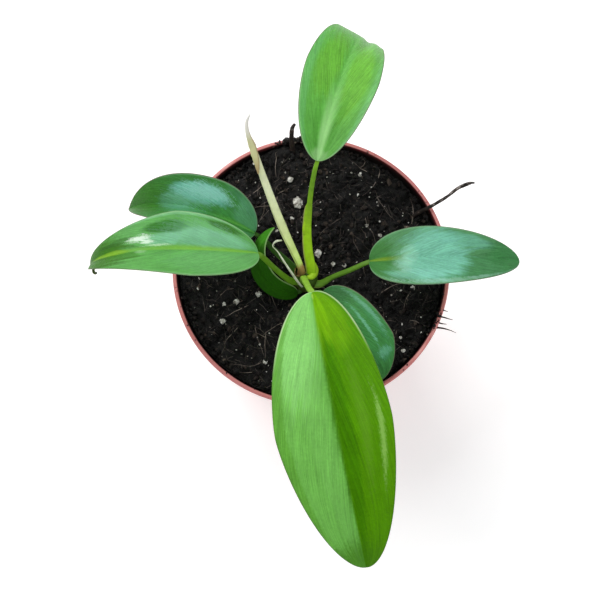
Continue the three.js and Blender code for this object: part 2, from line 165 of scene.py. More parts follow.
def dusty_polypropylene():
    """Vacuum-formed polypropylene: satin and slightly see-through, pale on its edges, partly from wear
    and partly as a painted highlight, with splashes of dried potting soil near the rim and fine upright
    drag marks from the mould. Below the lip its inner wall has painted shade."""
    material, add, place = new_material("dusty_polypropylene")
    height = add("SeparateXYZ", (place,)).outputs["Z"]
    mould_marks = add("Mapping", {"Vector": place, "Scale": (260, 260, 9)})
    marks = add("TexNoise", {"Vector": mould_marks, "Scale": 1.0, "Detail": 3.0})
    clouds = add("TexNoise", {"Vector": place, "Scale": 70.0, "Detail": 5.0})
    plastic = add("ValToRGB", (clouds,), stops=[(0.3, 0xC06D6A), (0.7, 0xCB7B79)])
    marked = add("MixRGB", (0.12, plastic, marks), blend_type="OVERLAY")
    # Pale on sharp edges, the rim's bead most: partly wear and partly a painted highlight.
    edge_sharpness = add("NewGeometry").outputs["Pointiness"]
    wear_and_highlight = add("MapRange", (edge_sharpness, 0.52, 0.6, 0.0, 0.5))
    edged = add("MixRGB", (wear_and_highlight, marked, linear(0xE3A8A2)))
    splash = add("TexNoise", {"Vector": place, "Scale": 420.0, "Detail": 6.0, "Roughness": 0.7})
    near_rim = add("MapRange", (height, 0.06, 0.103, 0.74, 0.6))
    spots = add("Math", (splash, near_rim), operation="SUBTRACT")
    soiled = add("MapRange", (spots, 0.0, 0.05, 0.0, 0.85))
    splashed = add("MixRGB", (soiled, edged, linear(0x3A241F)))
    # The inner wall faces the axis. Below the lip it has painted shade: dark red-brown, turning near black
    # towards the soil.
    level = add("VectorMath", (place, (1, 1, 0)), operation="MULTIPLY")
    normal = add("NewGeometry").outputs["Normal"]
    outward = add("VectorMath", (normal, level), operation="DOT_PRODUCT").outputs["Value"]
    inner = add("MapRange", (outward, -0.02, -0.045, 0.0, 1.0))
    ragged = add("Math", (clouds, 0.004, height), operation="MULTIPLY_ADD")
    shade_depth = add("MapRange", (ragged, 0.1069, 0.1053, 0.0, 1.0))
    wall = add("MixRGB", (shade_depth, linear(0x642529), linear(0x140C0B)))
    colour = add("MixRGB", (inner, splashed, wall))
    rough = add("MapRange", (clouds, 0.2, 0.8, 0.34, 0.52))
    relief = add("Math", (marks, soiled), operation="ADD")
    return close_material(material, colour, rough, 1.49, 0.5, (relief, 0.12, 0.0004),
                          (0.08, (0.004, 0.0015, 0.001)))


def build_pot():
    """The turned shell with its round edges softened and the drain holes drilled through its floor."""
    bm = turned_body(POT_PROFILE, POT_SPIN_STEPS)
    round_edges = [e for e in bm.edges if abs(e.verts[0].co.z - e.verts[1].co.z) < WELD
                   and abs(e.verts[0].co.xy.length - e.verts[1].co.xy.length) < WELD
                   and e.calc_face_angle(0) > ROUNDED_BEND]
    bmesh.ops.bevel(bm, geom=round_edges, offset=POT_EDGE_ROUNDING, offset_type="OFFSET", segments=3,
                    profile=0.5, affect="EDGES", material=-1, clamp_overlap=True)
    cutters = bmesh.new()
    for hole in range(DRAIN_HOLES):
        turn = (hole + 0.5) / DRAIN_HOLES * 2 * math.pi
        drill = bmesh.ops.create_cone(cutters, cap_ends=True, segments=28, radius1=DRAIN_HOLE_RADIUS,
                                      radius2=DRAIN_HOLE_RADIUS, depth=DRILL_LENGTH)
        side = (*turned(DRAIN_CIRCLE_RADIUS, turn), FLOOR_MIDDLE)
        bmesh.ops.translate(cutters, vec=side, verts=drill["verts"])
    parts = []
    for name, solid in (("pot_shell_uncut", bm), ("pot_drills", cutters)):
        mesh = bpy.data.meshes.new(name)
        solid.to_mesh(mesh)
        solid.free()
        parts.append(bpy.data.objects.new(name, mesh))
        bpy.context.scene.collection.objects.link(parts[-1])
    shell, drills = parts
    drilling = shell.modifiers.new("drilling", "BOOLEAN")
    drilling.object = drills
    drilling.operation = "DIFFERENCE"
    drilling.solver = "EXACT"
    drilled = bpy.data.meshes.new_from_object(shell.evaluated_get(bpy.context.evaluated_depsgraph_get()))
    pot = bmesh.new()
    pot.from_mesh(drilled)
    for used in (shell, drills):
        bpy.data.objects.remove(used)
    for edge in pot.edges:
        edge.smooth = edge.calc_face_angle(0) < SHARP_BEND
    return pot


finish_piece(build_pot(), "pot_shell", [dusty_polypropylene()], "pot_plastic", "pot")


# Soil. Damp black peat mixed with a little perlite, filled nearly to the rim and heaped at the back
# where a root pushed it up. It is crumbly, so its surface is lumps all over. It lies loose in the pot.
SOIL_LOW = 3.3
SOIL_SPIN_STEPS = 300
SOIL_RINGS = 118
SOIL_WALL = [(40.35, 3.3), (53.8, 90.2), (56.1, 92.4), (57.2, SOIL_LEVEL)]
HEAPS = [(-10, 52, 3, 13), (-3, -6, -0.4, 13), (-46, 14, 0.8, 18), (-8, -50, 1.4, 24), (38, 30, -1, 20)]
CLODS = [(0.55, 0.42, 0.23, 0.4), (0.5, -0.31, 0.51, 2.1), (0.4, 0.77, -0.62, 4.4), (0.35, 0.95, 0.88, 1.2)]
CRUMB_SIZES = [(4.6, 1.3), (1.9, 0.8)]
CRUMB_STEEPNESS = 1.6
CRUMB_SINK = 0.45
LOOSE_CRUMBS = 4600
CRUMB_REACH = 56.3
CRUMB_TONES = (0.2, 0.4, 0.5, 0.6, 0.66, 0.7, 0.74, 0.8, 0.86)
WALL_CRUMBS = 760
WALL_RADIUS = 57.4
WALL_CRUMB_TONES = (0.2, 0.5, 0.66, 0.74, 0.84)
CRUMBS_TO_A_BATCH = 100
LUMP_TURN = 6.3
PEAT_SEED = 31


def soil_height(x, y):
    """The height of the soil's solid: level, with heaps and hollows and a slow swell of clods."""
    height = SOIL_LEVEL
    for heap_x, heap_y, rise, spread in HEAPS:
        height += rise * math.exp(-((x - heap_x) ** 2 + (y - heap_y) ** 2) / spread ** 2)
    for size, across, up, phase in CLODS:
        height += size * math.sin(across * x + up * y + phase)
    return height


def crumbly_height(x, y):
    """The soil's height with its crumbs, each a low dome over one cell of a scattered pattern."""
    height = soil_height(x, y)
    for width, rise in CRUMB_SIZES:
        near, next_near = noise.voronoi(Vector((x / width, y / width, width)))[0][:2]
        height += rise * (min(1, (next_near - near) * CRUMB_STEEPNESS) - CRUMB_SINK)
    return height


def damp_peat():
    """Damp sphagnum peat: almost black and slightly greasy, with brown and tan crumbs where it has
    dried. A loose crumb has one tone drawn for it, and the bed's follows cells of crumb size."""
    material, add, place = new_material("damp_peat")
    tone = add("Attribute", attribute_name="tone").outputs["Fac"]
    cells = add("TexVoronoi", {"Vector": place, "Scale": 620.0})
    cell_tone = add("SeparateColor", (cells.outputs["Color"],))
    cell_tone = add("Math", (cell_tone, 0.84), operation="MULTIPLY")
    both = add("Math", (tone, cell_tone), operation="MAXIMUM")
    grit = add("TexNoise", {"Vector": place, "Scale": 1900.0, "Detail": 4.0, "Roughness": 0.7})
    centred = add("Math", (grit, 0.5), operation="SUBTRACT")
    shifted = add("Math", (centred, 0.3, both), operation="MULTIPLY_ADD")
    colour = add("ValToRGB", (shifted,), stops=[
        (0.0, 0x060505), (1.0, 0x94877A), (0.74, 0x0D0B0B), (0.86, 0x251E1B), (0.95, 0x52463D)])
    rough = add("MapRange", (grit, 0.35, 0.65, 0.22, 0.8))
    return close_material(material, colour, rough, 1.45, 0.3, (grit, 0.8, 0.0006))


def build_soil_bed():
    edge = SOIL_WALL[-1][0]
    surface = [(edge * (1 - ring / SOIL_RINGS), SOIL_LEVEL) for ring in range(1, SOIL_RINGS + 1)]
    bm = turned_body([(0, SOIL_LOW), *SOIL_WALL, *surface], SOIL_SPIN_STEPS)
    tone = bm.verts.layers.float.new("tone")
    for vert in bm.verts:
        vert[tone] = 0.0
        if vert.co.z > SOIL_LEVEL - 0.01:
            vert.co.z = crumbly_height(vert.co.x, vert.co.y)
    return bm


def pour(batch, bm):
    """Moves a small bmesh into a large one, since a bmesh slows down as it fills."""
    laid = bpy.data.meshes.new("batch")
    batch.to_mesh(laid)
    batch.free()
    bm.from_mesh(laid)
    bpy.data.meshes.remove(laid)


def add_lumps(bm, lumps, draw):
    """Adds angular lumps. Each is a place, a radius, how flat it lies and its tone."""
    for first in range(0, len(lumps), CRUMBS_TO_A_BATCH):
        batch = bmesh.new()
        tone = batch.verts.layers.float.new("tone")
        for middle, radius, flat, shade in lumps[first:first + CRUMBS_TO_A_BATCH]:
            turn = Euler([draw.uniform(0, LUMP_TURN) for _ in range(3)]).to_matrix()
            long = draw.uniform(0.8, 1.6)
            for vert in bmesh.ops.create_icosphere(batch, subdivisions=1, radius=radius)["verts"]:
                jagged = vert.co * draw.uniform(0.65, 1.2)
                lump = turn @ Vector((jagged.x * long, jagged.y, jagged.z * 0.7))
                vert.co = middle + Vector((lump.x, lump.y, lump.z * flat))
                vert[tone] = shade
        pour(batch, bm)


def lumpy_body(lumps, draw):
    """A mesh of nothing but lumps."""
    bm = bmesh.new()
    bm.verts.layers.float.new("tone")
    add_lumps(bm, lumps, draw)
    return bm


def build_loose_crumbs():
    draw = random.Random(PEAT_SEED)
    lumps = []
    for _ in range(LOOSE_CRUMBS):
        x, y = round_place(draw, CRUMB_REACH)
        radius = 0.25 + 1.25 * draw.random() ** 2.6
        shade = draw.choice(CRUMB_TONES) + 0.1 * draw.random() ** 2
        lift = draw.uniform(0, 0.8) * radius
        lumps.append((Vector((x, y, crumbly_height(x, y) + lift)), radius, draw.uniform(0.5, 1), shade))
    # More of them lie piled against the wall of the pot, all the way round.
    for _ in range(WALL_CRUMBS):
        turn = draw.uniform(0, 2 * math.pi)
        radius = 0.35 + 0.75 * draw.random() ** 1.6
        reach = WALL_RADIUS - 1.1 * radius - draw.uniform(0, 1.6)
        lift = draw.uniform(0.2, 1.5)
        middle = Vector((*turned(reach, turn), SOIL_LEVEL + 0.4 + lift))
        lumps.append((middle, radius, draw.uniform(0.6, 1), draw.choice(WALL_CRUMB_TONES)))
    return lumpy_body(lumps, draw)


peat = damp_peat()
finish_piece(build_soil_bed(), "soil_bed", [peat], "potting_soil", "soil")
finish_piece(build_loose_crumbs(), "soil_crumbs", [peat], "potting_soil", smooth=False)


# Fibres in the soil. Fine dry sphagnum and coir threads, light brown, that lie loosely on the peat
# and dip in and out of it. They are left from milling and are not fixed to anything.
FINE_FIBRES = 540
LONG_FIBRES = 60
FIBRES_TO_A_BATCH = 30
FIBRE_SEED = 52
FIBRE_KNOTS = 6
FIBRE_REACH = 54
FIBRE_LIMIT = 55.5
NEAR = 0.002
UP = Vector((0, 0, 1))
RIGHT = Vector((1, 0, 0))


def curve_at(points, share):
    """A place on the smooth curve through the points, by the share of the points passed."""
    place = min(max(share, 0), 1) * (len(points) - 1)
    index = min(int(place), len(points) - 2)
    here, there = points[index], points[index + 1]
    before = points[index - 1] if index > 0 else 2 * here - there
    after = points[index + 2] if index + 2 < len(points) else 2 * there - here
    leave, arrive = (there - before) / 2, (after - here) / 2
    u = place - index
    return (here * (2 * u ** 3 - 3 * u ** 2 + 1) + leave * (u ** 3 - 2 * u ** 2 + u)
            + there * (3 * u ** 2 - 2 * u ** 3) + arrive * (u ** 3 - u ** 2))


def value_along(values, share):
    """A value between those given at even steps."""
    place = min(max(share, 0), 1) * (len(values) - 1)
    index = min(int(place), len(values) - 2)
    return values[index] + (values[index + 1] - values[index]) * (place - index)


def rod_frame(path, share, side):
    """The middle of a rod at a share of its path, and the ways that its width and its top lie."""
    tangent = (curve_at(path, share + NEAR) - curve_at(path, share - NEAR)).normalized()
    right = (side - tangent * side.dot(tangent)).normalized()
    return curve_at(path, share), right, right.cross(tangent)


def add_rod(bm, points, side, section, sides=12, rings=24):
    """A closed rod along the smooth curve through the points. section(x, y, share) says how far a
    point of the unit circle lies along the side and along the top, and side is the way width lies."""
    path = [Vector(point) for point in points]
    before = len(bm.verts)
    rod = bmesh.ops.create_cone(bm, cap_ends=True, segments=sides, radius1=1, radius2=1, depth=1)
    long_edges = [e for e in {e for v in rod["verts"] for e in v.link_edges}
                  if abs(e.verts[0].co.z - e.verts[1].co.z) > 0.5]
    bmesh.ops.subdivide_edges(bm, edges=long_edges, cuts=rings - 1, use_grid_fill=True)
    made = list(bm.verts)[before:]
    for vert in made:
        x, y, share = vert.co.x, vert.co.y, vert.co.z + 0.5
        middle, right, top = rod_frame(path, share, side)
        wide, high = section(x, y, share)
        vert.co = middle + right * wide + top * high
        if "share" in bm.verts.layers.float:
            vert[bm.verts.layers.float["share"]] = share
    return made


def add_round_rod(bm, points, radii, side, flat=1, sides=12, rings=30):
    """A round or flattened rod whose radii are given at even steps."""
    add_rod(bm, points, side, lambda x, y, share: (
        x * value_along(radii, share), flat * y * value_along(radii, share)), sides, rings)


def add_fibre(bm, draw, step, arch, radius):
    """A tapering fibre, which wanders from a place drawn on the soil."""
    x, y = round_place(draw, FIBRE_REACH)
    heading = draw.uniform(0, 2 * math.pi)
    bend = draw.uniform(-0.16, 0.16)
    points = []
    for knot in range(FIBRE_KNOTS):
        lift = arch * math.sin(math.pi * knot / (FIBRE_KNOTS - 1)) - 0.2
        points.append((x, y, crumbly_height(x, y) + 0.5 + lift))
        heading += bend + draw.uniform(-0.22, 0.22)
        x += step * math.cos(heading)
        y += step * math.sin(heading)
        far = math.hypot(x, y)
        if far > FIBRE_LIMIT:
            x, y = x * FIBRE_LIMIT / far, y * FIBRE_LIMIT / far
    add_round_rod(bm, points, (radius, 0.3 * radius), UP, sides=4, rings=10)


def build_soil_fibres(count, shortest, longest, thickness):
    draw = random.Random(FIBRE_SEED + count)
    bm = bmesh.new()
    for _ in range(0, count, FIBRES_TO_A_BATCH):
        batch = bmesh.new()
        for _ in range(FIBRES_TO_A_BATCH):
            step = draw.uniform(shortest, longest) / (FIBRE_KNOTS - 1)
            arch = draw.uniform(0.1, 0.3) * step * 2
            add_fibre(batch, draw, step, arch, thickness * draw.uniform(0.6, 1.2))
        pour(batch, bm)
    return bm


# Dry plant fibre: straw to dark brown, matt, a little lighter along its ridges.
fine_fibre = plant_tissue("dark_peat_fibre", (1, 1, 1), 160.0, 3.0, [(0.35, 0x181514), (0.65, 0x6C625C)],
                          0.75, 1.53, 0.3)
long_fibre = plant_tissue("dry_peat_fibre", (1, 1, 1), 160.0, 3.0, [(0.35, 0x453A35), (0.65, 0x9C8E84)],
                          0.75, 1.53, 0.3)
finish_piece(build_soil_fibres(FINE_FIBRES, 2, 9, 0.13), "fine_fibres", [fine_fibre], "potting_soil")
finish_piece(build_soil_fibres(LONG_FIBRES, 6, 17, 0.16), "long_fibres", [long_fibre], "potting_soil")


# Perlite. Popped volcanic glass in the soil mix: white brittle grains full of pores, the larger
# ones half sunk in the peat, and many crushed specks. It is loose like the rest of the soil.
LARGE_GRAINS = [
    (-5.7, 30.5, 2.3), (2.8, 7.3, 1.8), (-22.6, -11.2, 1.3), (-9.3, 40.9, 1.2), (-38.2, -23.3, 1.2),
    (-32.3, -14.6, 1.2), (9.6, 2.8, 1), (14.6, 2, 0.9), (-24.9, 48.3, 0.9), (-37.7, -15.4, 0.9),
    (-8.4, 23.1, 0.9), (-14.8, 17.2, 0.9), (39.4, -35.9, 0.9),
]
SCATTERED_GRAINS = 14
INNER_GRAIN = 12
GRAIN_SPREAD = 38
DRAW_FACTOR = 16807
DRAW_PRIME = 2147483647
PERLITE_SPECKS = 330
SPECK_REACH = 55
PERLITE_SEED = 1207


def popped_perlite():
    """Perlite: chalky off-white and matt, with darker pores and soil dust in its hollows."""
    material, add, place = new_material("popped_perlite")
    pores = add("TexVoronoi", {"Vector": place, "Scale": 2600.0})
    dust = add("TexNoise", {"Vector": place, "Scale": 700.0, "Detail": 3.0})
    colour = add("ValToRGB", (dust,), stops=[(0.3, 0x5E5850), (0.62, 0xE4E2DC), (0.48, 0xB9B5AC)])
    return close_material(material, colour, 0.9, 1.5, 0.5, (pores, 0.6, 0.0004), (0.1, (0.001, 0.001, 0.001)))


def build_perlite():
    """The large grains are where the soil solid has them. The scatter repeats its draw."""
    state = PERLITE_SEED
    draws = []
    for _ in range(3 * SCATTERED_GRAINS):
        state = state * DRAW_FACTOR % DRAW_PRIME
        draws.append(state / DRAW_PRIME)
    grains = list(LARGE_GRAINS)
    for far, around, size in zip(draws[0::3], draws[1::3], draws[2::3]):
        reach = INNER_GRAIN + GRAIN_SPREAD * math.sqrt(far)
        grains.append((*turned(reach, 2 * math.pi * around), 0.7 + 0.4 * size))
    bm = bmesh.new()
    bm.verts.layers.float.new("tone")
    for x, y, radius in grains:
        middle = Vector((x, y, soil_height(x, y) + 0.1 * radius))
        for vert in bmesh.ops.create_icosphere(bm, subdivisions=3, radius=radius)["verts"]:
            rough = noise.noise((vert.co + middle) * 1.5 / radius) + 0.5 * noise.noise(vert.co * 4 / radius)
            vert.co = vert.co * (0.95 + 0.45 * rough) + middle
    draw = random.Random(PERLITE_SEED)
    specks = []
    for _ in range(PERLITE_SPECKS):
        x, y = round_place(draw, SPECK_REACH)
        radius = 0.16 + 0.42 * draw.random() ** 3
        specks.append((Vector((x, y, crumbly_height(x, y) + 0.4 + 0.4 * radius)), radius, 0.8, 0.0))
    add_lumps(bm, specks, draw)
    return bm


finish_piece(build_perlite(), "perlite_grains", [popped_perlite()], "potting_soil", smooth=False)


# Stem. The short crown of the plant, set in the soil: a stub of green-brown tissue with rings where
# old leaves dropped. Every leaf stalk and the rolled sheath clasp it.
STEM_CENTRE = (-2.3, -5.2)
STEM_SPIN_STEPS = 40
STEM_PROFILE = [(0, 86), (4.2, 86), (4.4, 97), (5, 102), (5.1, 105), (4.4, 107.2), (2.6, 108.6), (0, 109.1)]


def crown_tissue():
    """Living stem tissue: olive green, darker and corky brown towards the soil, softly shiny."""
    material, add, place = new_material("crown_tissue")
    height = add("SeparateXYZ", (place,)).outputs["Z"]
    rise = add("MapRange", (height, 0.1, 0.109, 0.0, 1.0))
    mottle = add("TexNoise", {"Vector": place, "Scale": 600.0, "Detail": 4.0})
    mixed = add("Math", (mottle, 0.5, rise), operation="MULTIPLY_ADD")
    colour = add("ValToRGB", (mixed,), stops=[(0.3, 0x33271A), (1.0, 0x3B5416), (0.7, 0x434A1A)])
    return close_material(material, colour, 0.55, 1.42, 0.25, (mottle, 0.5, 0.0004))


def build_stem():
    """A turned stub, made slightly uneven, with a ring for each leaf that dropped."""
    bm = turned_body(STEM_PROFILE, STEM_SPIN_STEPS)
    upright = [e for e in bm.edges if abs(e.verts[0].co.z - e.verts[1].co.z) > 0.3]
    bmesh.ops.subdivide_edges(bm, edges=upright, cuts=5, use_grid_fill=True)
    for vert in bm.verts:
        scars = 1 + 0.03 * math.sin(vert.co.z * 3.1) + 0.05 * noise.noise(vert.co * 0.5)
        vert.co.x = vert.co.x * scars + STEM_CENTRE[0]
        vert.co.y = vert.co.y * scars + STEM_CENTRE[1]
    return bm


finish_piece(build_stem(), "crown_stem", [crown_tissue()], "crown_tissue", "stem")


# Leaf blades. Long firm leaves with a waxy skin, each one sheet of tissue that folds up a little
# from its rib, which is a groove above and a ridge below. Each grows out of its own stalk. The
# newest, in front, is yellow-green, and the older ones are deeper green, with the sky's bluish
# reflection painted on them in patches.
BLADE_ROWS = 120
BLADE_COLUMNS = 44
BLADE_THICKNESS = 0.55
MARGIN_THICKNESS = 0.3
RIB_RELIEF = 0.7
RIB_HALF_WIDTH = 1.5
GROOVE_DEPTH = 0.22
GROOVE_HALF_WIDTH = 0.6
LEAST_HALF_WIDTH = 0.3
COLUMN_SPREAD = 1.15
VEIN_RELIEF = 0.05
VEINS = 30
MIDRIB_STEPS = 80
DRY_MARGIN = 0x6B5A50

# Each blade's sizes are the ones its solid has, in millimetres and degrees. left and right are the
# colours of its halves, which meet at step, and under is the colour below. Where a blade is folded,
# one half is painted paler as the side in light and the other darker as the side in shade. Its rib
# shows as a stripe of a colour, a half width, the share of the length where it has faded and a
# strength. The pale line at its edge has a colour, an end, a strength and a width, and pale_side keeps
# it to one side. gloss is the roughness of the skin, mirror how strongly it reflects, and sweep how
# far the side veins lean to the tip. A patch is a place (across, along), its half sizes, a colour and a
# strength, across from -1 at the left to 1 at the right and along from base to tip. Some patches are
# the leaf's own tone, most pale bluish ones are a painted reflection of the sky and some dark ones
# are painted shade. A glint is a painted highlight, a patch whose edge is broken by the side veins,
# and a dent is a place, its half sizes and a depth. USUAL is what a leaf has where it doesn't say.
USUAL = dict(swerve_power=1, step=0.0, mirror=0.2, sweep=0.55, pale_side=0, glints=(), dents=())
# For each pattern of the side veins, how often it repeats in a millimetre of length and from the rib
# to the edge, its detail and its roughness. The first are the veins, about 1.2 mm apart, which is
# coarser than the real ones so that they show. Then come the lines between them and the broad bands.
VEIN_PATTERNS = [(0.85, 2.5, 3.0, 0.55), (2.4, 5, 2.0, 0.6), (0.14, 1.2, 2.0, 0.5)]
LEAVES = [
    dict(name="front_leaf", slot="young_leaf",
        base=(-1.4, -24.3, 160), heading=-81.4, swerve=4.8, rise=21, droop=52,
        droop_power=1.2, length=109, width=48, widest=0.51, base_full=1.65,
        tip_full=1.44, tip_sharp=0.62, fold=30, curl=10, roll=-14,
        left=0x4E8802, right=0x6DAF4D, step=0.03, under=0x8DBB5E, streaks=0.3,
        rib=(0x8CC414, 1.6, 0.3, 0.45), pale_edge=(0xD2EABA, 0.32, 0.6, 0.8), brown_edge=0.2,
        gloss=0.45, mirror=0.07, sweep=0.9,
        patches=[
            (-0.12, 0.55, 0.2, 0.5, 0x3C7600, 0.7), (-0.5, 0.12, 0.4, 0.16, 0x6DA508, 0.7),
            (-0.2, 0.1, 0.2, 0.14, 0x80B80E, 0.6), (0.55, 0.12, 0.5, 0.34, 0x94D87C, 0.6),
            (0.95, 0.45, 0.14, 0.5, 0x559428, 0.6), (0.2, 1.02, 1.4, 0.14, 0x427A0C, 0.7),
            (0.3, 0.6, 0.2, 0.34, 0x77B85A, 0.4),
        ],
        glints=[(-0.8, 0.56, 0.05, 0.13, 0xA4D070, 0.45), (-0.5, 0.5, 0.1, 0.2, 0x6FA030, 0.3)]),
    dict(name="back_leaf", slot="light_leaf",
        base=(1.3, 32.4, 150), heading=76, swerve=-11, rise=38, droop=143,
        droop_power=1.3, length=91.6, width=31, widest=0.42, base_full=1.78,
        tip_full=1.35, tip_sharp=0.53, fold=2, curl=0, roll=-5,
        left=0x5BA442, right=0x69AF50, under=0x88B873, streaks=0.26,
        rib=(0xB2EA9A, 2.9, 0.36, 0.58), pale_edge=(0xB4DDA4, 0.4, 0.35, 1.0), brown_edge=0.7,
        gloss=0.42,
        patches=[
            (-0.95, 0.28, 0.2, 0.42, 0x68B068, 0.5), (1.0, 0.28, 0.18, 0.36, 0x7CC07A, 0.55),
            (-0.4, 0.45, 0.36, 0.22, 0x62A628, 0.65), (0.45, 0.42, 0.34, 0.26, 0x70B634, 0.65),
            (0, 0.8, 1.0, 0.13, 0x74A566, 0.5), (-0.35, 0.15, 0.12, 0.2, 0x4A922E, 0.4),
            (0.35, 0.15, 0.12, 0.2, 0x4A922E, 0.4), (0, 0.01, 0.8, 0.05, 0xA5D690, 0.5),
        ],
        dents=[(0.36, 0.68, 0.2, 0.16, -1.7), (1.0, 0.68, 0.3, 0.16, -1.6)]),
    dict(name="right_leaf", slot="mature_leaf",
        base=(23.8, -1.5, 122), heading=2, swerve=-2, rise=20, droop=45,
        droop_power=1, length=65.5, width=27, widest=0.38, base_full=2.24,
        tip_full=1.63, tip_sharp=0.55, fold=18, curl=20, roll=9,
        left=0x4C8654, right=0x44804E, under=0x7BA873, streaks=0.3,
        rib=(0x7C9C24, 1.3, 0.24, 0.7), pale_edge=(0x8CBF92, 0.9, 0.35, 1.0), brown_edge=0.4,
        gloss=0.38,
        patches=[
            (0, 0.42, 1.0, 0.24, 0x79C0A9, 0.75), (-0.6, 0.62, 0.3, 0.2, 0x6FB49E, 0.5),
            (0, 0.03, 1.2, 0.14, 0x36742E, 0.9), (0.0, 1.0, 1.2, 0.24, 0x387840, 0.9),
            (0.65, 0.3, 0.2, 0.2, 0x84C8B6, 0.4), (-0.1, 0.26, 0.4, 0.06, 0xA0D0B6, 0.2),
        ],
        glints=[(0.2, 0.22, 0.4, 0.06, 0xB0DCC4, 0.22), (0.9, 0.5, 0.07, 0.36, 0xB0DCCC, 0.3)]),
    dict(name="left_front_leaf", slot="mature_leaf",
        base=(-22.4, -2.7, 138), heading=184, swerve=5, rise=30, droop=141,
        droop_power=3.2, length=84, width=32.5, widest=0.4, base_full=1.97,
        tip_full=1.39, tip_sharp=1.2, fold=23, curl=20, roll=-20,
        left=0x589D4A, right=0x5A9E50, under=0x84B078, streaks=0.28,
        rib=(0x86C03E, 1.4, 0.9, 0.6), pale_edge=(0xA2D89A, 0.7, 0.4, 1.0), brown_edge=0.35,
        gloss=0.4,
        patches=[
            (-0.5, 0.25, 0.5, 0.3, 0x64A85F, 0.6), (0.3, 0.25, 0.3, 0.26, 0x7ABA90, 0.75),
            (0.76, 0.16, 0.16, 0.1, 0x316C1A, 0.9), (0.6, 0.47, 0.2, 0.12, 0x2F7022, 0.95),
            (0.25, 0.5, 0.2, 0.1, 0x84C4A0, 0.5), (0.97, 0.35, 0.08, 0.3, 0x84C090, 0.5),
            (0.0, 0.88, 1.3, 0.24, 0x346E06, 0.95), (0.45, 0.72, 0.14, 0.1, 0x2A6018, 0.6),
            (-0.03, 0.76, 0.16, 0.12, 0x8CBC2C, 0.6), (-0.3, 0.66, 0.2, 0.06, 0x3C7A1C, 0.5),
        ],
        glints=[(0.36, 0.6, 0.1, 0.05, 0xE6F4E6, 0.8), (0.22, 0.565, 0.07, 0.03, 0xE2F4DE, 0.75),
                (0.1, 0.52, 0.03, 0.06, 0xC4E6BA, 0.6),
                (-0.12, 0.6, 0.1, 0.02, 0xA5D09A, 0.4), (0.5, 0.3, 0.3, 0.2, 0x90CCAC, 0.25)]),
    dict(name="left_back_leaf", slot="mature_leaf",
        base=(-24.2, 12, 117), heading=157, swerve=19, rise=24, droop=85,
        droop_power=1.4, length=64.7, width=29.5, widest=0.32, base_full=1.79,
        tip_full=2.48, tip_sharp=1.12, fold=34, curl=6, roll=-8,
        left=0x35752F, right=0x337430, under=0x739E62, streaks=0.3,
        rib=(0x59A03C, 1.3, 0.34, 0.7), pale_edge=(0x8CB596, 0.8, 0.3, 1.0), brown_edge=0.75,
        gloss=0.38,
        patches=[
            (0.12, 0.4, 0.24, 0.4, 0x458F48, 0.6), (0.1, 0.88, 1.2, 0.3, 0x35721D, 0.8),
            (0.8, 0.1, 0.2, 0.14, 0x3C784E, 0.6), (-0.6, 0.3, 0.4, 0.3, 0x5E9E78, 0.5),
            (0.5, 0.42, 0.32, 0.2, 0x68AE9C, 0.8), (0.1, 0.58, 0.36, 0.12, 0x5A9A7C, 0.45),
            (0.5, 0.08, 0.6, 0.12, 0x5A9A70, 0.6), (0.9, 0.2, 0.14, 0.1, 0x4A885A, 0.4),
        ],
        glints=[(0.58, 0.38, 0.22, 0.16, 0xA0DACE, 0.4), (0.3, 0.48, 0.3, 0.14, 0x84C4AE, 0.25),
                (-0.2, 0.5, 0.3, 0.12, 0x5FA384, 0.4)]),
    dict(name="low_front_leaf", slot="mature_leaf",
        base=(4, -13.5, 115), heading=-51, swerve=-10, rise=25, droop=60,
        droop_power=1, length=46.7, width=27.7, widest=0.66, base_full=2.23,
        tip_full=1.3, tip_sharp=0.64, fold=12, curl=15, roll=-16,
        left=0x3A7A3E, right=0x3A7A3E, under=0x6D9A62, streaks=0.34,
        rib=(0x4C8A34, 1.2, 0.3, 0.5), pale_edge=(0x5C9468, 0.9, 0.3, 1.0), brown_edge=0.8,
        gloss=0.42,
        patches=[
            (-0.4, 0.06, 0.6, 0.22, 0x255A2C, 0.7), (0, 1.0, 1.2, 0.16, 0x2A6428, 0.7),
            (-0.75, 0.46, 0.12, 0.26, 0x3F8456, 0.4), (-0.6, 0.78, 0.26, 0.07, 0x428660, 0.4),
        ],
        glints=[(-0.82, 0.4, 0.07, 0.24, 0x84C0AC, 0.35), (-0.45, 0.5, 0.05, 0.2, 0x7CC0A4, 0.5),
                (-0.6, 0.76, 0.24, 0.04, 0x7CC0A4, 0.35)]),
    dict(name="crown_leaf", slot="mature_leaf",
        base=(-5.9, -10.6, 103.6), heading=192, swerve=-165, swerve_power=1.08, rise=24,
        droop=0, droop_power=1, length=41.8, width=8.6, widest=0.46, base_full=2.9,
        tip_full=1.23, tip_sharp=0.68, fold=8, curl=15, roll=16,
        left=0x1D4B03, right=0x215305, under=0x3A6A24, streaks=0.25,
        rib=(0x245210, 0.6, 0.4, 0.2), pale_edge=(0xA4C884, 2.5, 0.55, 0.7), pale_side=1,
        brown_edge=0.0, gloss=0.5, mirror=0.08,
        patches=[(0, 1.0, 1.4, 0.26, 0x448E22, 0.85)]),
]
for leaf in LEAVES:
    for measure, value in USUAL.items():
        leaf.setdefault(measure, value)


def blade_frame(leaf, s):
    """The directions of a blade at the share s of its length: ahead, to its right, and its face."""
    heading = math.radians(leaf["heading"] + leaf["swerve"] * s ** leaf["swerve_power"])
    slope = math.radians(leaf["rise"] - leaf["droop"] * s ** leaf["droop_power"])
    ahead = Vector((*turned(math.cos(slope), heading), math.sin(slope)))
    level = Vector((math.sin(heading), -math.cos(heading), 0))
    upright = level.cross(ahead)
    lean = math.radians(leaf["roll"])
    right = level * math.cos(lean) + upright * math.sin(lean)
    face = upright * math.cos(lean) - level * math.sin(lean)
    return ahead, right, face


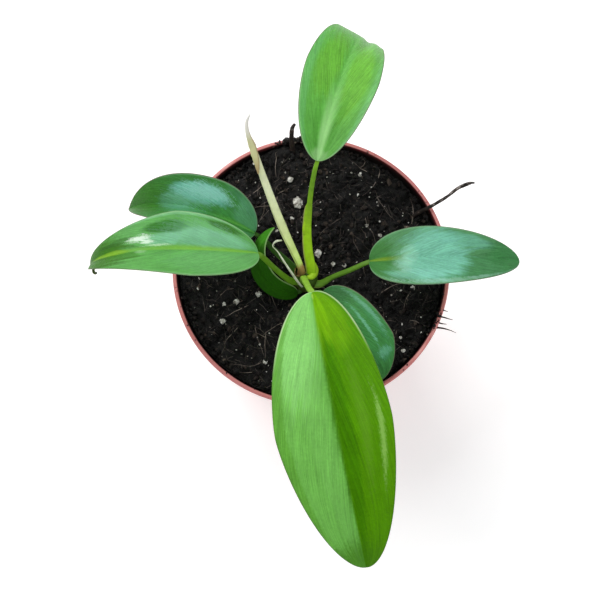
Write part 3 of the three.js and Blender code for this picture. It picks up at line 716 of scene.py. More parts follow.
def half_width(leaf, s):
    """The outline: one arc from the base to the widest place and another from there to the tip."""
    if s < leaf["widest"]:
        back = (leaf["widest"] - s) / leaf["widest"]
        share = (1 - back ** leaf["base_full"]) ** (1 / leaf["base_full"])
    else:
        onward = (s - leaf["widest"]) / (1 - leaf["widest"])
        share = max(0, 1 - onward ** leaf["tip_full"]) ** leaf["tip_sharp"]
    return max(LEAST_HALF_WIDTH, leaf["width"] / 2 * share)


def build_blade(leaf):
    """A flat slab of grid cells with an upper and a lower sheet, which is then laid on the leaf."""
    bm = bmesh.new()
    bmesh.ops.create_grid(bm, x_segments=BLADE_COLUMNS, y_segments=BLADE_ROWS, size=1)
    sheets = bmesh.ops.extrude_face_region(bm, geom=list(bm.faces), use_keep_orig=True)["geom"]
    for vert in sheets:
        if isinstance(vert, bmesh.types.BMVert):
            vert.co.z = 1
    bmesh.ops.recalc_face_normals(bm, faces=bm.faces)
    for face in bm.faces:
        face.material_index = int(face.normal.z < -0.5)
    across = bm.verts.layers.float.new("across")
    along = bm.verts.layers.float.new("along")
    from_edge = bm.verts.layers.float.new("edge_mm")
    ribs = []
    for row in range(BLADE_ROWS + 1):
        s = 0.5 - 0.5 * math.cos(math.pi * row / BLADE_ROWS)
        rib = Vector(leaf["base"])
        for step in range(MIDRIB_STEPS):
            rib += blade_frame(leaf, s * (step + 0.5) / MIDRIB_STEPS)[0] * (s * leaf["length"] / MIDRIB_STEPS)
        ribs.append((s, rib, *blade_frame(leaf, s)[1:], half_width(leaf, s)))
    fold, curl = math.radians(leaf["fold"]), math.radians(leaf["curl"])
    for vert in bm.verts:
        s, rib, right, face, half = ribs[round((vert.co.y + 1) / 2 * BLADE_ROWS)]
        t = math.copysign(abs(vert.co.x) ** COLUMN_SPREAD, vert.co.x)
        a = abs(t)
        if curl:
            out = (math.sin(fold) - math.sin(fold - curl * a)) / curl
            up = (math.cos(fold - curl * a) - math.cos(fold)) / curl
        else:
            out, up = math.cos(fold) * a, math.sin(fold) * a
        veins = VEIN_RELIEF * math.sin(2 * math.pi * VEINS * (s - 0.5 * a ** 1.2)) * min(1, 4 * a) * (1 - a)
        groove = -GROOVE_DEPTH * math.exp(-(a * half / GROOVE_HALF_WIDTH) ** 2) * (1 - s)
        dents = sum(depth * math.exp(-((t - at) / reach) ** 2 - ((s - where) / length) ** 2)
                    for at, where, reach, length, depth in leaf["dents"])
        lift = veins + groove
        if vert.co.z < 0.5:
            ridge = RIB_RELIEF * (1 - 0.8 * s) * math.exp(-(a * half / RIB_HALF_WIDTH) ** 2)
            lift = -ridge - BLADE_THICKNESS - (MARGIN_THICKNESS - BLADE_THICKNESS) * a ** 2 + 0.5 * veins
        vert.co = rib + right * math.copysign(out * half, t) + face * (up * half + lift + dents)
        vert[across] = t
        vert[along] = s
        vert[from_edge] = (1 - a) * half
    return bm


def patch_mask(add, across, along, blurs, place, strength):
    """How much a patch shows: full inside its oval, and fading where the blurs push its edge about."""
    shares = []
    for value, middle, half in zip((across, along), place[:2], place[2:]):
        shares.append(add("Math", (value, middle), operation="SUBTRACT"))
        shares[-1] = add("Math", (shares[-1], half), operation="DIVIDE")
    offset = add("CombineXYZ", shares)
    far = add("VectorMath", (offset,), operation="LENGTH").outputs["Value"]
    start = 1.15
    for blur, amount in blurs:
        far = add("Math", (blur, amount, far), operation="MULTIPLY_ADD")
        start += 0.5 * amount
    return add("MapRange", (far, start, start - 0.5, 0.0, strength), interpolation_type="SMOOTHSTEP")


def waxy_leaf(leaf):
    """Aroid leaf tissue under a waxy skin: satin, with patches of its own tone, the sky's reflection
    painted on as soft pale patches and glints, and painted shade in dark patches and on the half of a
    fold that faces away from the light. It has fine side veins that sweep from the rib to the tip, and in
    places a pale or brown line at the edge."""
    material, add, place = new_material(leaf["name"] + "_tissue")
    across, along, from_edge = (add("Attribute", attribute_name=measure).outputs["Fac"]
                                for measure in ("across", "along", "edge_mm"))
    aside = add("Math", (across,), operation="ABSOLUTE")
    swept = add("Math", (aside, -leaf["sweep"], along), operation="MULTIPLY_ADD")
    vein_place = add("CombineXYZ", (swept, across))
    patterns = []
    for per_mm, over, detail, roughness in VEIN_PATTERNS:
        scale = (per_mm * leaf["length"], over, 1)
        spread = add("Mapping", {"Vector": vein_place, "Scale": scale})
        look = {"Vector": spread, "Scale": 1.0, "Detail": detail, "Roughness": roughness}
        patterns.append(add("TexNoise", look))
    veins, fine, broad = patterns
    net_scale = add("Mapping", {"Vector": vein_place, "Scale": (0.5 * leaf["length"], 9, 1)})
    net = add("TexVoronoi", {"Vector": net_scale, "Scale": 1.0}, feature="DISTANCE_TO_EDGE")
    mottle = add("TexNoise", {"Vector": place, "Scale": 900.0, "Detail": 3.0, "Roughness": 0.6})
    clouds = add("TexNoise", {"Vector": place, "Scale": 110.0, "Detail": 3.0})
    # On a folded blade one half is painted paler as lit and the other darker as shaded.
    halves = add("MapRange", (across, leaf["step"] - 0.03, leaf["step"] + 0.03))
    colour = add("MixRGB", (halves, linear(leaf["left"]), linear(leaf["right"])))
    # Patches: the leaf's own tones, painted reflections of the sky and painted shade.
    for *patch, shade, strength in leaf["patches"]:
        shown = patch_mask(add, across, along, [(broad, 0.9), (mottle, 0.35)], patch, strength)
        colour = add("MixRGB", (shown, colour, linear(shade)))
    streak = add("MapRange", (veins, 0.3, 0.7, -leaf["streaks"], leaf["streaks"]))
    bands = add("MapRange", (broad, 0.3, 0.7, -0.09, 0.09))
    cloudy = add("MapRange", (clouds, 0.3, 0.7, 0.93, 1.07))
    fine_streak = add("MapRange", (fine, 0.3, 0.7, -0.1, 0.1))
    mesh_tone = add("MapRange", (net, 0.0, 0.3, -0.1, 0.07))
    tone = add("Math", (streak, 0.6, bands), operation="MULTIPLY_ADD")
    for part in (fine_streak, mesh_tone, cloudy):
        tone = add("Math", (tone, part), operation="ADD")
    grain = add("MapRange", (mottle, 0.3, 0.7, 0.93, 1.07))
    tone = add("Math", (tone, grain), operation="MULTIPLY")
    colour = add("VectorMath", {0: colour, 3: tone}, operation="SCALE")
    rib_colour, rib_half, rib_end, rib_strength = leaf["rib"]
    rib_mm = add("Math", (aside, leaf["width"] / 2), operation="MULTIPLY")
    stripe = (rib_mm, 1.4 * rib_half, 0.3 * rib_half, 0.0, rib_strength)
    rib = add("MapRange", stripe, interpolation_type="SMOOTHSTEP")
    rib_fade = add("MapRange", (along, rib_end, 0.4 * rib_end))
    rib = add("Math", (rib, rib_fade), operation="MULTIPLY")
    colour = add("MixRGB", (rib, colour, linear(rib_colour)))
    # Glints are painted highlights: the reflection of the light, broken up by the veins.
    for *glint, shade, strength in leaf["glints"]:
        shown = patch_mask(add, across, along, [(veins, 1.4), (fine, 3.6), (mottle, 1.6)], glint, strength)
        colour = add("MixRGB", (shown, colour, linear(shade)))
    line_colour, line_end, line_strength, line_mm = leaf["pale_edge"]
    line = add("MapRange", (from_edge, line_mm, 0.4 * line_mm, 0.0, line_strength))
    line_fade = add("MapRange", (along, line_end, 0.6 * line_end))
    line = add("Math", (line, line_fade), operation="MULTIPLY")
    if leaf["pale_side"]:
        on_side = add("MapRange", (across, 0.0, 0.2 * leaf["pale_side"]))
        line = add("Math", (line, on_side), operation="MULTIPLY")
    colour = add("MixRGB", (line, colour, linear(line_colour)))
    rim = add("MapRange", (from_edge, 0.4, 0.12, 0.0, leaf["brown_edge"]))
    colour = add("MixRGB", (rim, colour, linear(DRY_MARGIN)))
    relief = add("Math", (veins, 0.8, mottle), operation="MULTIPLY_ADD")
    relief = add("Math", (net, 0.6, relief), operation="MULTIPLY_ADD")
    gloss = leaf["gloss"]
    rough = add("MapRange", (mottle, 0.3, 0.7, gloss - 0.05, gloss + 0.07))
    return close_material(material, colour, rough, 1.45, leaf["mirror"], (relief, 0.4, 0.0006),
                          (0.06, (0.0006, 0.0012, 0.0003)))


def matt_underside(leaf):
    """The same leaf from below: paler and matt, with the ridge of the rib lighter still."""
    material, add, place = new_material(leaf["name"] + "_underside")
    across = add("Attribute", attribute_name="across").outputs["Fac"]
    aside = add("Math", (across,), operation="ABSOLUTE")
    mottle = add("TexNoise", {"Vector": place, "Scale": 500.0, "Detail": 4.0})
    shade = add("MapRange", (mottle, 0.3, 0.7, 0.88, 1.08))
    base = add("VectorMath", {0: linear(leaf["under"])[:3], 3: shade}, operation="SCALE")
    rib = add("MapRange", (aside, 0.12, 0.03, 0.0, 0.7))
    colour = add("MixRGB", (rib, base, linear(0xA9C878)))
    return close_material(material, colour, 0.55, 1.45, 0.3, (mottle, 0.2, 0.0004))


for leaf in LEAVES:
    finish_piece(build_blade(leaf), leaf["name"] + "_lamina", [waxy_leaf(leaf), matt_underside(leaf)],
                 leaf["slot"], leaf["name"] + "_blade")


# Dried leaf point. The drip tip of the left front leaf withered and curled into a small dark hook,
# which is still part of the blade.
HOOK_PATH = [(-88.3, -9.2, 139.4), (-88.7, -10.2, 138.5), (-88.5, -11.1, 138), (-87.9, -11.5, 137.8),
             (-87.3, -11.2, 137.9)]
HOOK_RADII = [0.5, 0.8, 0.85, 0.75, 0.45]

hook = bmesh.new()
add_round_rod(hook, HOOK_PATH, HOOK_RADII, UP, flat=0.7)
# Withered leaf tissue: dark olive to brown, wrinkled and matt.
withered_tip = plant_tissue("withered_tip", (1, 1, 1), 1800.0, 3.0, [(0.35, 0x1F2E0E), (0.65, 0x4A5A26)],
                            0.65, 1.45, 0.3, (0.5, 0.0003))
finish_piece(hook, "left_front_leaf_hook", [withered_tip], "mature_leaf")


# Leaf stalks. Firm green stalks, grooved along the top, whose lower part widens into thin wings
# that clasp the stem. Each runs on under its blade as the start of the rib.
STALKS = [
    dict(leaf=0, path=[(-3.2, -6.6, 107), (-3.5, -7.5, 116), (-2.8, -13.5, 131), (-2, -19.8, 147)],
         foot=1.5, top=1.15, wings=(0.3, 0.3), sheath_end=0.3, taper=0.6, colour=0x86B437,
         edge=0xB9CC70, slot="light_stalk"),
    dict(leaf=1, path=[(0.4, -4.4, 107), (0.1, -1.6, 110.5), (-1.4, 5.7, 116), (-1.9, 13.8, 123),
                       (-1.1, 23.1, 135), (0.2, 29.2, 146)],
         foot=1.5, top=0.85, wings=(1.3, 0.4), sheath_end=0.6, taper=0.12, colour=0x95C31B,
         upper=0x6C9A20, edge=0xA8A068, slot="light_stalk"),
    dict(leaf=2, path=[(-1, -6.4, 104.6), (3.7, -7.5, 105.8), (9.1, -5.4, 110), (16.1, -3.9, 116)],
         foot=1.3, top=1, wings=(0.8, 0.8), sheath_end=0.45, taper=0.6, colour=0x567F22,
         edge=0x8FA050, slot="mature_stalk"),
    dict(leaf=3, path=[(-5, -6, 105.4), (-9.2, -7.4, 111.2), (-15.7, -4.9, 121.8), (-19.8, -3.4, 131.2)],
         foot=1.3, top=1.1, wings=(0.5, 0.5), sheath_end=0.4, taper=0.6, colour=0x5D8A1A,
         edge=0x9DB060, slot="mature_stalk"),
    dict(leaf=4, path=[(-5, -3.2, 103.8), (-9.3, 1, 106.2), (-15.3, 5.6, 109.4), (-20.4, 9.6, 113.6)],
         foot=1.3, top=0.9, wings=(0.6, 0.6), sheath_end=0.75, taper=0.4, colour=0x2E5414,
         edge=0x6F8F4A, slot="mature_stalk"),
    dict(leaf=5, path=[(-1.7, -7.8, 104), (-0.3, -10.6, 106), (1.9, -12.3, 110.4)],
         foot=1.2, top=0.95, wings=(0.5, 0.5), sheath_end=0.5, taper=0.6, colour=0x40681A,
         edge=0x7E9A50, slot="mature_stalk"),
    dict(leaf=6, path=[(-3.2, -7, 102.8), (-4.9, -9.9, 103)],
         foot=1.1, top=0.95, wings=(0.4, 0.4), sheath_end=0.6, taper=0.6, colour=0x2C4F14,
         edge=0x6F8F4A, slot="mature_stalk"),
]
UNDER_BLADE = 6


def grooved_stalk(name, shade, upper, edge):
    """Fresh stalk tissue: satin green with fine lengthwise lines, drier on the edges of its wings, and
    a deeper green in its upper part."""
    material, add, place = new_material(name)
    wing, share = (add("Attribute", attribute_name=measure).outputs["Fac"] for measure in ("wing", "share"))
    lines = add("TexNoise", {"Vector": place, "Scale": 420.0, "Detail": 4.0, "Distortion": 0.4})
    tone = add("MapRange", (lines, 0.3, 0.7, 0.85, 1.12))
    higher = add("MapRange", (share, 0.4, 0.6))
    green = add("MixRGB", (higher, linear(shade), linear(upper)))
    base = add("VectorMath", {0: green, 3: tone}, operation="SCALE")
    dry = add("MapRange", (wing, 0.7, 0.95, 0.0, 0.85))
    colour = add("MixRGB", (dry, base, linear(edge)))
    return close_material(material, colour, 0.45, 1.43, 0.25, (lines, 0.25, 0.0004))


def build_stalk(stalk):
    """A rod with a groove along its top and wings at its foot, which ends flattened under the blade."""
    leaf = LEAVES[stalk["leaf"]]
    ahead, _, face = blade_frame(leaf, 0)
    level = blade_frame({**leaf, "roll": 0}, 0)[1]
    base = Vector(leaf["base"])
    under = [base - face * 0.75, base + ahead * UNDER_BLADE - face * 1.1]
    path = [*(Vector(point) for point in stalk["path"]), *under]
    bm = bmesh.new()
    dryness = bm.verts.layers.float.new("wing")
    bm.verts.layers.float.new("share")
    ends = (len(path) - 2) / (len(path) - 1)

    def half_at(done, side):
        radius = stalk["foot"] + (stalk["top"] - stalk["foot"]) * done
        if done >= stalk["sheath_end"]:
            return radius, 0
        return radius, stalk["wings"][side > 0] * (1 - done / stalk["sheath_end"]) ** stalk["taper"]

    def section(x, y, share):
        done = min(1, share / ends)
        radius, wing = half_at(done, x)
        flatter = 1 - 0.75 * max(0, (done - 0.9) / 0.1) if y > 0 else 1
        if share > ends:
            radius *= 1 - 0.8 * (share - ends) / (1 - ends)
        thin = 1 - 0.6 * min(1, wing) * x * x
        groove = (0.25 * radius + 0.3 * wing) * (1 - abs(x)) if y > 0.3 else 0
        high = (y * (radius + 0.2 * wing) * thin - groove) * flatter + 0.35 * wing * x * x
        return x * (radius + wing), high

    for vert in add_rod(bm, path, level, section, sides=24, rings=72):
        share = vert[bm.verts.layers.float["share"]]
        middle, beside, _ = rod_frame(path, share, level)
        wide = (vert.co - middle).dot(beside)
        radius, wing = half_at(min(1, share / ends), wide)
        vert[dryness] = abs(wide) / (radius + wing) * min(1, 2 * wing)
    return bm


for stalk in STALKS:
    leaf_name = LEAVES[stalk["leaf"]]["name"]
    upper = stalk.get("upper", stalk["colour"])
    tissue = grooved_stalk(leaf_name + "_stalk_tissue", stalk["colour"], upper, stalk["edge"])
    finish_piece(build_stalk(stalk), leaf_name + "_petiole", [tissue], stalk["slot"], leaf_name + "_stalk")


# Rolled sheath. The cream, papery cover of the next leaf: a sheath rolled round itself, so that its
# free edge runs up it as a step. Its tip has opened into a flat limb, which is torn below and dried
# to a thin white curl above. It grows from the stem.
SHEATH_PATH = [(-4.8, -3.4, 107.4), (-5.1, -1.4, 113.4), (-12.9, 12.4, 126), (-19.9, 26.3, 141.5),
               (-24, 35.4, 153), (-27, 41.8, 160), (-25.6, 46.6, 165.6)]
SHEATH_RADII = [1.7, 1.45, 1.95, 1.6, 1.1, 0.2, 0.05]
LIMB_PATH = [(-22.5, 28.0, 146.8), (-23, 30.8, 149.8), (-23.9, 34, 153), (-25, 37, 155.8),
             (-26.2, 39.4, 158.2), (-26.9, 41.8, 160.5), (-26.8, 44.4, 163), (-25.7, 46.2, 164.8)]
LIMB_HALF_WIDTHS = [0.25, 1, 1.5, 1.45, 1.0, 0.75, 0.6, 0.35]
LIMB_THICKNESS = 0.22


def cream_sheath():
    """Young sheath tissue: cream with green veins along it, satin, yellow-green where it leaves its
    brown papery foot."""
    material, add, place = new_material("cream_sheath")
    share, seam = (add("Attribute", attribute_name=measure).outputs["Fac"] for measure in ("share", "seam"))
    fibres = add("TexNoise", {"Vector": place, "Scale": 300.0, "Detail": 4.0})
    ragged = add("Math", (fibres, 0.06, share), operation="MULTIPLY_ADD")
    colour = add("ValToRGB", (ragged,), stops=[
        (0.0, 0x6A4B2A), (1.0, 0xD8DAC4), (0.195, 0xA88650), (0.22, 0xCAE678), (0.35, 0xDEE8A6),
        (0.5, 0xEAEEC4), (0.75, 0xD0CFA2)])
    lines = add("MapRange", (fibres, 0.35, 0.65, 0.9, 1.06))
    lined = add("VectorMath", {0: colour, 3: lines}, operation="SCALE")
    step = add("MapRange", (seam, 0.5, 1.0, 0.0, 0.5))
    edged = add("MixRGB", (step, lined, linear(0x8A7A50)))
    return close_material(material, edged, 0.45, 1.45, 0.35, (fibres, 0.25, 0.0005),
                          (0.12, (0.0012, 0.0012, 0.0005)))


def papery_limb():
    """The opened limb: dull yellow and drying, brown along its right edge and its torn lower end, and
    bleached greyish white towards the curled tip."""
    material, add, place = new_material("papery_limb")
    share, seam = (add("Attribute", attribute_name=measure).outputs["Fac"] for measure in ("share", "seam"))
    fibres = add("TexNoise", {"Vector": place, "Scale": 400.0, "Detail": 4.0})
    ragged = add("Math", (fibres, 0.08, share), operation="MULTIPLY_ADD")
    colour = add("ValToRGB", (ragged,), stops=[
        (0.0, 0xA8805A), (1.0, 0xE4E0DC), (0.12, 0xB8A070), (0.3, 0xD2CE98), (0.55, 0xCBC79A),
        (0.7, 0xE0DCCC)])
    brown = add("MapRange", (seam, 0.45, 0.95, 0.0, 0.85))
    fade = add("MapRange", (share, 0.75, 0.5))
    brown = add("Math", (brown, fade), operation="MULTIPLY")
    edged = add("MixRGB", (brown, colour, linear(0x8A6844)))
    return close_material(material, edged, 0.6, 1.45, 0.3, (fibres, 0.3, 0.0004))


def build_sheath():
    """A rod whose radius grows once round it, so that it steps back at the free edge."""
    bm = bmesh.new()
    bm.verts.layers.float.new("share")
    seam = bm.verts.layers.float.new("seam")
    path = [Vector(point) for point in SHEATH_PATH]

    def wrap_at(x, y, share):
        return (math.atan2(y, x) / (2 * math.pi) - 0.25 - 0.3 * share) % 1

    def section(x, y, share):
        radius = value_along(SHEATH_RADII, share)
        wrap = 0.9 + 0.16 * wrap_at(x, y, share)
        return x * radius * wrap, y * radius * wrap

    for vert in add_rod(bm, path, RIGHT, section, sides=48, rings=90):
        share = vert[bm.verts.layers.float["share"]]
        middle, right, top = rod_frame(path, share, RIGHT)
        away = vert.co - middle
        near = wrap_at(away.dot(right), away.dot(top), share)
        vert[seam] = max(0, 1 - 12 * min(near, 1 - near))
    return bm


def build_limb():
    """A cupped strip with a torn edge."""
    bm = bmesh.new()
    bm.verts.layers.float.new("share")
    seam = bm.verts.layers.float.new("seam")
    path = [Vector(point) for point in LIMB_PATH]
    side = Vector((1, 0.1, -0.2))

    def section(x, y, share):
        wide = value_along(LIMB_HALF_WIDTHS, share)
        torn = 1 + 0.3 * noise.noise(Vector((share * 30, x, 0))) * (1 - share)
        cupped = 0.45 * wide * (1 - x * x)
        return x * wide * torn, y * LIMB_THICKNESS + cupped

    for vert in add_rod(bm, path, side, section, sides=28, rings=70):
        share = vert[bm.verts.layers.float["share"]]
        away = vert.co - curve_at(path, share)
        vert[seam] = max(0, away.dot(side.normalized()) / value_along(LIMB_HALF_WIDTHS, share))
    return bm


finish_piece(build_sheath(), "rolled_sheath", [cream_sheath()], "cream_sheath", "new_leaf_sheath")
finish_piece(build_limb(), "sheath_limb", [papery_limb()], "cream_sheath")


# Torn foot. What is left of the sheaths of older leaves: brown papery scales that stand round the
# stem and the rolled sheath, grown from the stem. With them is the yellow-green lobe with which the
# back leaf's stalk clasps the stem, and the free point of that stalk's wing.
SCALE_ROWS = 14
SCALE_COLUMNS = 10
# The axis it stands round, its turn about that, its half width, how far out it stands, the height of
# its foot and how tall it is.
SCALES = [
    ((-2.3, -5.2), -100, 1.9, 3.6, 104.5, 3.6), ((-2.3, -5.2), -150, 1.7, 3.9, 104.5, 3.4),
    ((-2.3, -5.2), -60, 1.6, 3.9, 104.5, 2.8), ((-2.3, -5.2), 40, 1.4, 4.4, 104.5, 3.0),
    ((-4.9, -2.8), -105, 2.2, 2.5, 104.8, 6.6), ((-4.9, -2.4), 180, 1.8, 2.4, 105.5, 6.2),
    ((-4.9, -2.4), 120, 1.5, 2.2, 106, 6.4), ((-4.7, -2.6), -35, 1.6, 2.3, 105.5, 6),
    ((-4.8, -2.2), 40, 1.3, 2.1, 106, 5.8),
]
LOBE_PATH = [(-1.9, -5.4, 109), (-0.1, -5, 108.8), (1.1, -3.4, 108.2), (1.3, -1.6, 108.6), (0.8, 0.1, 109.9),
             (0, 1.4, 111.4)]
LOBE_RADII = [0.8, 1.4, 1.7, 1.65, 1.2, 0.5]
WING_POINT = [(-3.4, 10.6, 120.6), (-3.6, 12.4, 122.4), (-3.0, 15, 124.8), (-1.8, 17.1, 127)]
WING_POINT_RADII = [0.5, 0.6, 0.5, 0.12]


def build_scales():
    """Thin upright shells, each part of a turn round its axis, with a jagged top."""
    bm = bmesh.new()
    for (axis_x, axis_y), turn, half, reach, foot, tall in SCALES:
        grid = bmesh.ops.create_grid(bm, x_segments=SCALE_COLUMNS, y_segments=SCALE_ROWS, size=1)["verts"]
        middle = math.radians(turn)
        for vert in grid:
            across, up = vert.co.x, (vert.co.y + 1) / 2
            jag = 0.18 * noise.noise(Vector((across * 6, turn, 0))) * up
            round_stem = middle + across * half / reach * (1 - 0.75 * up ** 1.5)
            far = reach * (1 - 0.1 * up) + 0.25 * up * across * across
            height = foot + tall * up * (1 - 0.2 * across * across + jag)
            out_x, out_y = turned(far, round_stem)
            vert.co = Vector((axis_x + out_x, axis_y + out_y, height))
    bmesh.ops.solidify(bm, geom=list(bm.faces), thickness=0.12)
    bmesh.ops.recalc_face_normals(bm, faces=bm.faces)
    return bm


def build_lobe():
    bm = bmesh.new()
    bm.verts.layers.float.new("wing")
    for path, radii, flat in ((LOBE_PATH, LOBE_RADII, 1), (WING_POINT, WING_POINT_RADII, 0.5)):
        add_round_rod(bm, path, radii, RIGHT, flat, sides=20)
    return bm


# Dead sheath paper: tan to dark brown, matt, with fibres that run up it.
brown_scale = plant_tissue("brown_scale", (1300, 1300, 220), 1.0, 4.0,
                           [(0.32, 0x5C4426), (0.7, 0xD0B886), (0.5, 0x9E7C4C)],
                           0.75, 1.5, 0.25, (0.5, 0.0004))
finish_piece(build_scales(), "torn_scales", [brown_scale], "dried_tissue")
lobe_tissue = grooved_stalk("clasping_lobe_tissue", 0x9EC626, 0x9EC626, 0xC4CC85)
finish_piece(build_lobe(), "clasping_lobe", [lobe_tissue], "light_stalk")


# Dried strip. The edge of an old sheath that dried and tore off in a narrow ribbon. It is held only
# where it grew, at the crown, and its loose end curled to a hook.
STRIP_PATH = [(-4, -9.2, 107.4), (-5.9, -8.6, 113.4), (-10.4, -3.2, 118), (-14.4, 2.6, 120),
              (-16.6, 5.1, 120.6), (-15.3, 7.4, 120), (-12.8, 8.3, 118.6)]
STRIP_RADII = [0.5, 0.72, 0.68, 0.55, 0.5, 0.48, 0.42]


def build_strip():
    """A flat ribbon that twists as it goes."""
    bm = bmesh.new()

    def section(x, y, share):
        radius = value_along(STRIP_RADII, share)
        twist = 2.5 * share
        wide, thin = x * radius, y * radius * 0.4
        cosine, sine = math.cos(twist), math.sin(twist)
        return wide * cosine - thin * sine, wide * sine + thin * cosine

    add_rod(bm, STRIP_PATH, RIGHT, section, sides=12, rings=60)
    return bm


# Dead leaf tissue: grey-green to straw, matt, with lengthwise fibres.
dried_tissue = plant_tissue("dried_tissue", (1, 1, 1), 350.0, 3.0, [(0.35, 0xAFB694), (0.65, 0xE8ECD8)],
                            0.7, 1.5, 0.3, (0.3, 0.0003))
finish_piece(build_strip(), "curled_strip", [dried_tissue], "dried_tissue", "dried_strip")


# Dead roots. Two woody roots of an older plant in the soil: one leans out over the rim at the
# right, and one makes a short hook in the heap at the back. Both stand in the soil.
ROOT_PATH = [(42.5, 23.4, 96), (44.7, 24.7, 100), (48.4, 26.2, 104), (52, 27.2, 107.4),
             (58.2, 30.5, 109.3), (63.8, 34.6, 110.6), (68.1, 36.6, 111.6), (71, 36.9, 111.4)]
ROOT_RADII = [0.9, 1, 0.9, 0.75, 0.65, 0.7, 0.55, 0.4]
STUB_PATH = [(-7.6, 50.8, 96), (-8, 53, 102), (-8.6, 56.4, 109), (-8.6, 60.2, 113.2), (-7.4, 63, 112.8)]
STUB_RADII = [1.5, 1.35, 1.1, 0.95, 0.6]
SIDE_ROOT = [(63, 34.2, 110.4), (65.4, 34.7, 111.4), (68, 35.6, 112), (70.6, 36.9, 111.5)]
SIDE_ROOT_RADII = [0.4, 0.3, 0.26, 0.2]


def dead_root():
    """Dead root bark: dark brown, rough, with a painted grey highlight on what faces up."""
    material, add, place = new_material("dead_root")
    bark = add("TexNoise", {"Vector": place, "Scale": 500.0, "Detail": 5.0, "Roughness": 0.65})
    colour = add("ValToRGB", (bark,), stops=[(0.35, 0x120C0A), (0.75, 0x54443B), (0.55, 0x241813)])
    # A painted highlight: pale grey on the faces that look up, broken up by the bark.
    upward = add("SeparateXYZ", (add("NewGeometry").outputs["Normal"],)).outputs["Z"]
    painted_highlight = add("Math", (bark, upward), operation="MULTIPLY")
    painted_highlight = add("MapRange", (painted_highlight, 0.46, 0.62, 0.0, 0.7))
    colour = add("MixRGB", (painted_highlight, colour, linear(0xA39C96)))
    return close_material(material, colour, 0.72, 1.5, 0.35, (bark, 0.7, 0.0006))


def build_root(path, radii, seed):
    """A round rod with knots in its bark."""
    bm = bmesh.new()

    def section(x, y, share):
        radius = value_along(radii, share)
        knots = 1 + 0.22 * noise.noise(Vector((x, y, 22 * share + seed)))
        return x * radius * knots, y * radius * knots

    add_rod(bm, path, RIGHT, section, sides=14, rings=60)
    return bm


bark = dead_root()
finish_piece(build_root(ROOT_PATH, ROOT_RADII, 3.0), "leaning_root", [bark], "dead_root", "dry_root")
finish_piece(build_root(SIDE_ROOT, SIDE_ROOT_RADII, 5.0), "side_root", [bark], "dead_root")
finish_piece(build_root(STUB_PATH, STUB_RADII, 8.0), "hooked_root", [bark], "dead_root", "root_stub")


# Crumbs and rootlets on the rim. Bits of peat spilled while potting, which lie on the turned rim
# where the soil is high, and dead rootlets that grow out of the soil and over the rim at the right.
RIM_TOP = 105
RIM_BAND = (57.2, 59.4)
# A turn, a spread in degrees, a count, the largest radius and how high they are heaped.
CRUMB_SPILLS = [
    (98, 4.5, 150, 1.3, 1.6), (98, 9, 60, 0.8, 0.3), (-24, 7, 34, 0.9, 0.2), (60, 170, 26, 0.8, 0),
    (215, 70, 16, 0.7, 0), (-52, 14, 10, 0.7, 0),
]
SPILL_SEED = 77
ROOTLETS = [
    [(54.2, -20.6, 102), (56.6, -21.8, 105.3), (58.6, -22.7, 106.4), (60.6, -23.1, 106)],
    [(53.6, -25.6, 102), (56.2, -26.7, 105.5), (59, -27.7, 106.5), (61.8, -28.8, 106)],
    [(54.2, -23.2, 102), (55.9, -24.6, 105.2), (58, -25, 105.9)],
    [(55.4, -17, 102), (56.8, -18.6, 104.9), (58.6, -19.4, 105.7)],
]
ROOTLET_RADIUS = 0.48


def build_rim_crumbs():
    draw = random.Random(SPILL_SEED)
    lumps = []
    for middle, spread, count, largest, heap in CRUMB_SPILLS:
        for _ in range(count):
            turn = math.radians(middle + draw.uniform(-spread, spread))
            radius = 0.2 + (largest - 0.2) * draw.random() ** 2.2
            reach = draw.uniform(*RIM_BAND)
            lift = 0.3 * radius + heap * draw.random() ** 1.5
            at = Vector((*turned(reach, turn), RIM_TOP + lift))
            lumps.append((at, radius, draw.uniform(0.5, 1), 0.6 + 0.4 * draw.random() ** 2))
    return lumpy_body(lumps, draw)


rootlets = bmesh.new()
for rootlet in ROOTLETS:
    add_round_rod(rootlets, rootlet, (ROOTLET_RADIUS, 0.2 * ROOTLET_RADIUS), UP, sides=6, rings=20)
finish_piece(build_rim_crumbs(), "rim_crumbs", [peat], "potting_soil", smooth=False)
finish_piece(rootlets, "rim_rootlets", [bark], "dead_root")


# Studio. A plain pale floor that the pot stands on, an even pale sky, one wide soft light from the
# back left, and the camera looking down into the pot.
FLOOR_SIZE = 8.0
FLOOR_GLOW = 0.24
SKY_COLOUR = (0.93, 0.97, 1, 1)
SKY_STRENGTH = 0.5
PLANT_MIDDLE = Vector((0, 0, 0.12))


def pale_floor():
    """Matt white acrylic of a light table, faintly lit from below, with a slight unevenness."""
    material, add, place = new_material("pale_floor")
    uneven = add("TexNoise", {"Vector": place, "Scale": 30.0, "Detail": 2.0})
    colour = add("ValToRGB", (uneven,), stops=[(0.2, 0xF7F7F6), (0.8, 0xFDFDFD)])
    return close_material(material, colour, 0.9, 1.5, 0.1, glow=FLOOR_GLOW)


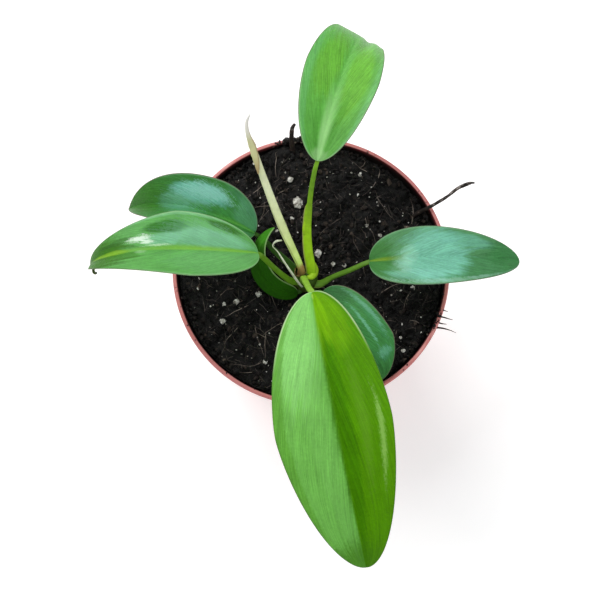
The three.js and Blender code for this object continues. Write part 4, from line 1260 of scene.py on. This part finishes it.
floor_bm = bmesh.new()
bmesh.ops.create_grid(floor_bm, x_segments=1, y_segments=1, size=FLOOR_SIZE / 2)
floor_mesh = bpy.data.meshes.new("studio_floor")
floor_bm.to_mesh(floor_mesh)
floor_bm.free()
floor_mesh.materials.append(pale_floor())
studio_floor = bpy.data.objects.new("studio_floor", floor_mesh)
bpy.context.scene.collection.objects.link(studio_floor)

sky = bpy.data.worlds.new("pale_sky")
bpy.context.scene.world = sky
sky.use_nodes = True
background = sky.node_tree.nodes["Background"]
background.inputs["Color"].default_value = SKY_COLOUR
background.inputs["Strength"].default_value = SKY_STRENGTH


def add_light(name, place, size, power, colour, glossy):
    """A square soft light at a place, turned to the middle of the plant. It may leave no gloss."""
    lamp = bpy.data.lights.new(name, "AREA")
    lamp.shape = "SQUARE"
    lamp.size = size
    lamp.energy = power
    lamp.color = colour
    holder = bpy.data.objects.new(name, lamp)
    holder.location = place
    holder.rotation_euler = (Vector(place) - PLANT_MIDDLE).to_track_quat("Z", "Y").to_euler()
    holder.visible_glossy = glossy
    bpy.context.scene.collection.objects.link(holder)


add_light("soft_window", (-0.55, 0.7, 1.15), 1.1, 16, (1, 0.99, 0.97), True)
add_light("soft_fill", (0.7, -0.6, 1.1), 1.2, 5, (0.97, 0.99, 1), False)

CAMERA_TURN = math.radians(-6)
CAMERA_RISE = math.radians(75)
CAMERA_DISTANCE = 0.52
CAMERA_AIM = Vector((-0.0049, -0.0144, 0.105))
SENSOR_MM = 36
LENS_MM = 72.06
rim_middle = Vector((0, 0, 0.105))
back_way = Vector((math.sin(CAMERA_TURN) * math.cos(CAMERA_RISE),
                   -math.cos(CAMERA_TURN) * math.cos(CAMERA_RISE), math.sin(CAMERA_RISE)))
lens = bpy.data.cameras.new("camera")
lens.sensor_width = SENSOR_MM
lens.lens = LENS_MM
camera = bpy.data.objects.new("camera", lens)
camera.location = rim_middle + back_way * CAMERA_DISTANCE
away = (camera.location - CAMERA_AIM).normalized()
sideways = Vector((0, 1, 0)).cross(away).normalized()
camera.rotation_euler = Matrix((sideways, away.cross(sideways), away)).transposed().to_euler()
bpy.context.scene.collection.objects.link(camera)
bpy.context.scene.camera = camera
bpy.context.scene.view_settings.view_transform = "Standard"

bpy.context.view_layer.update()
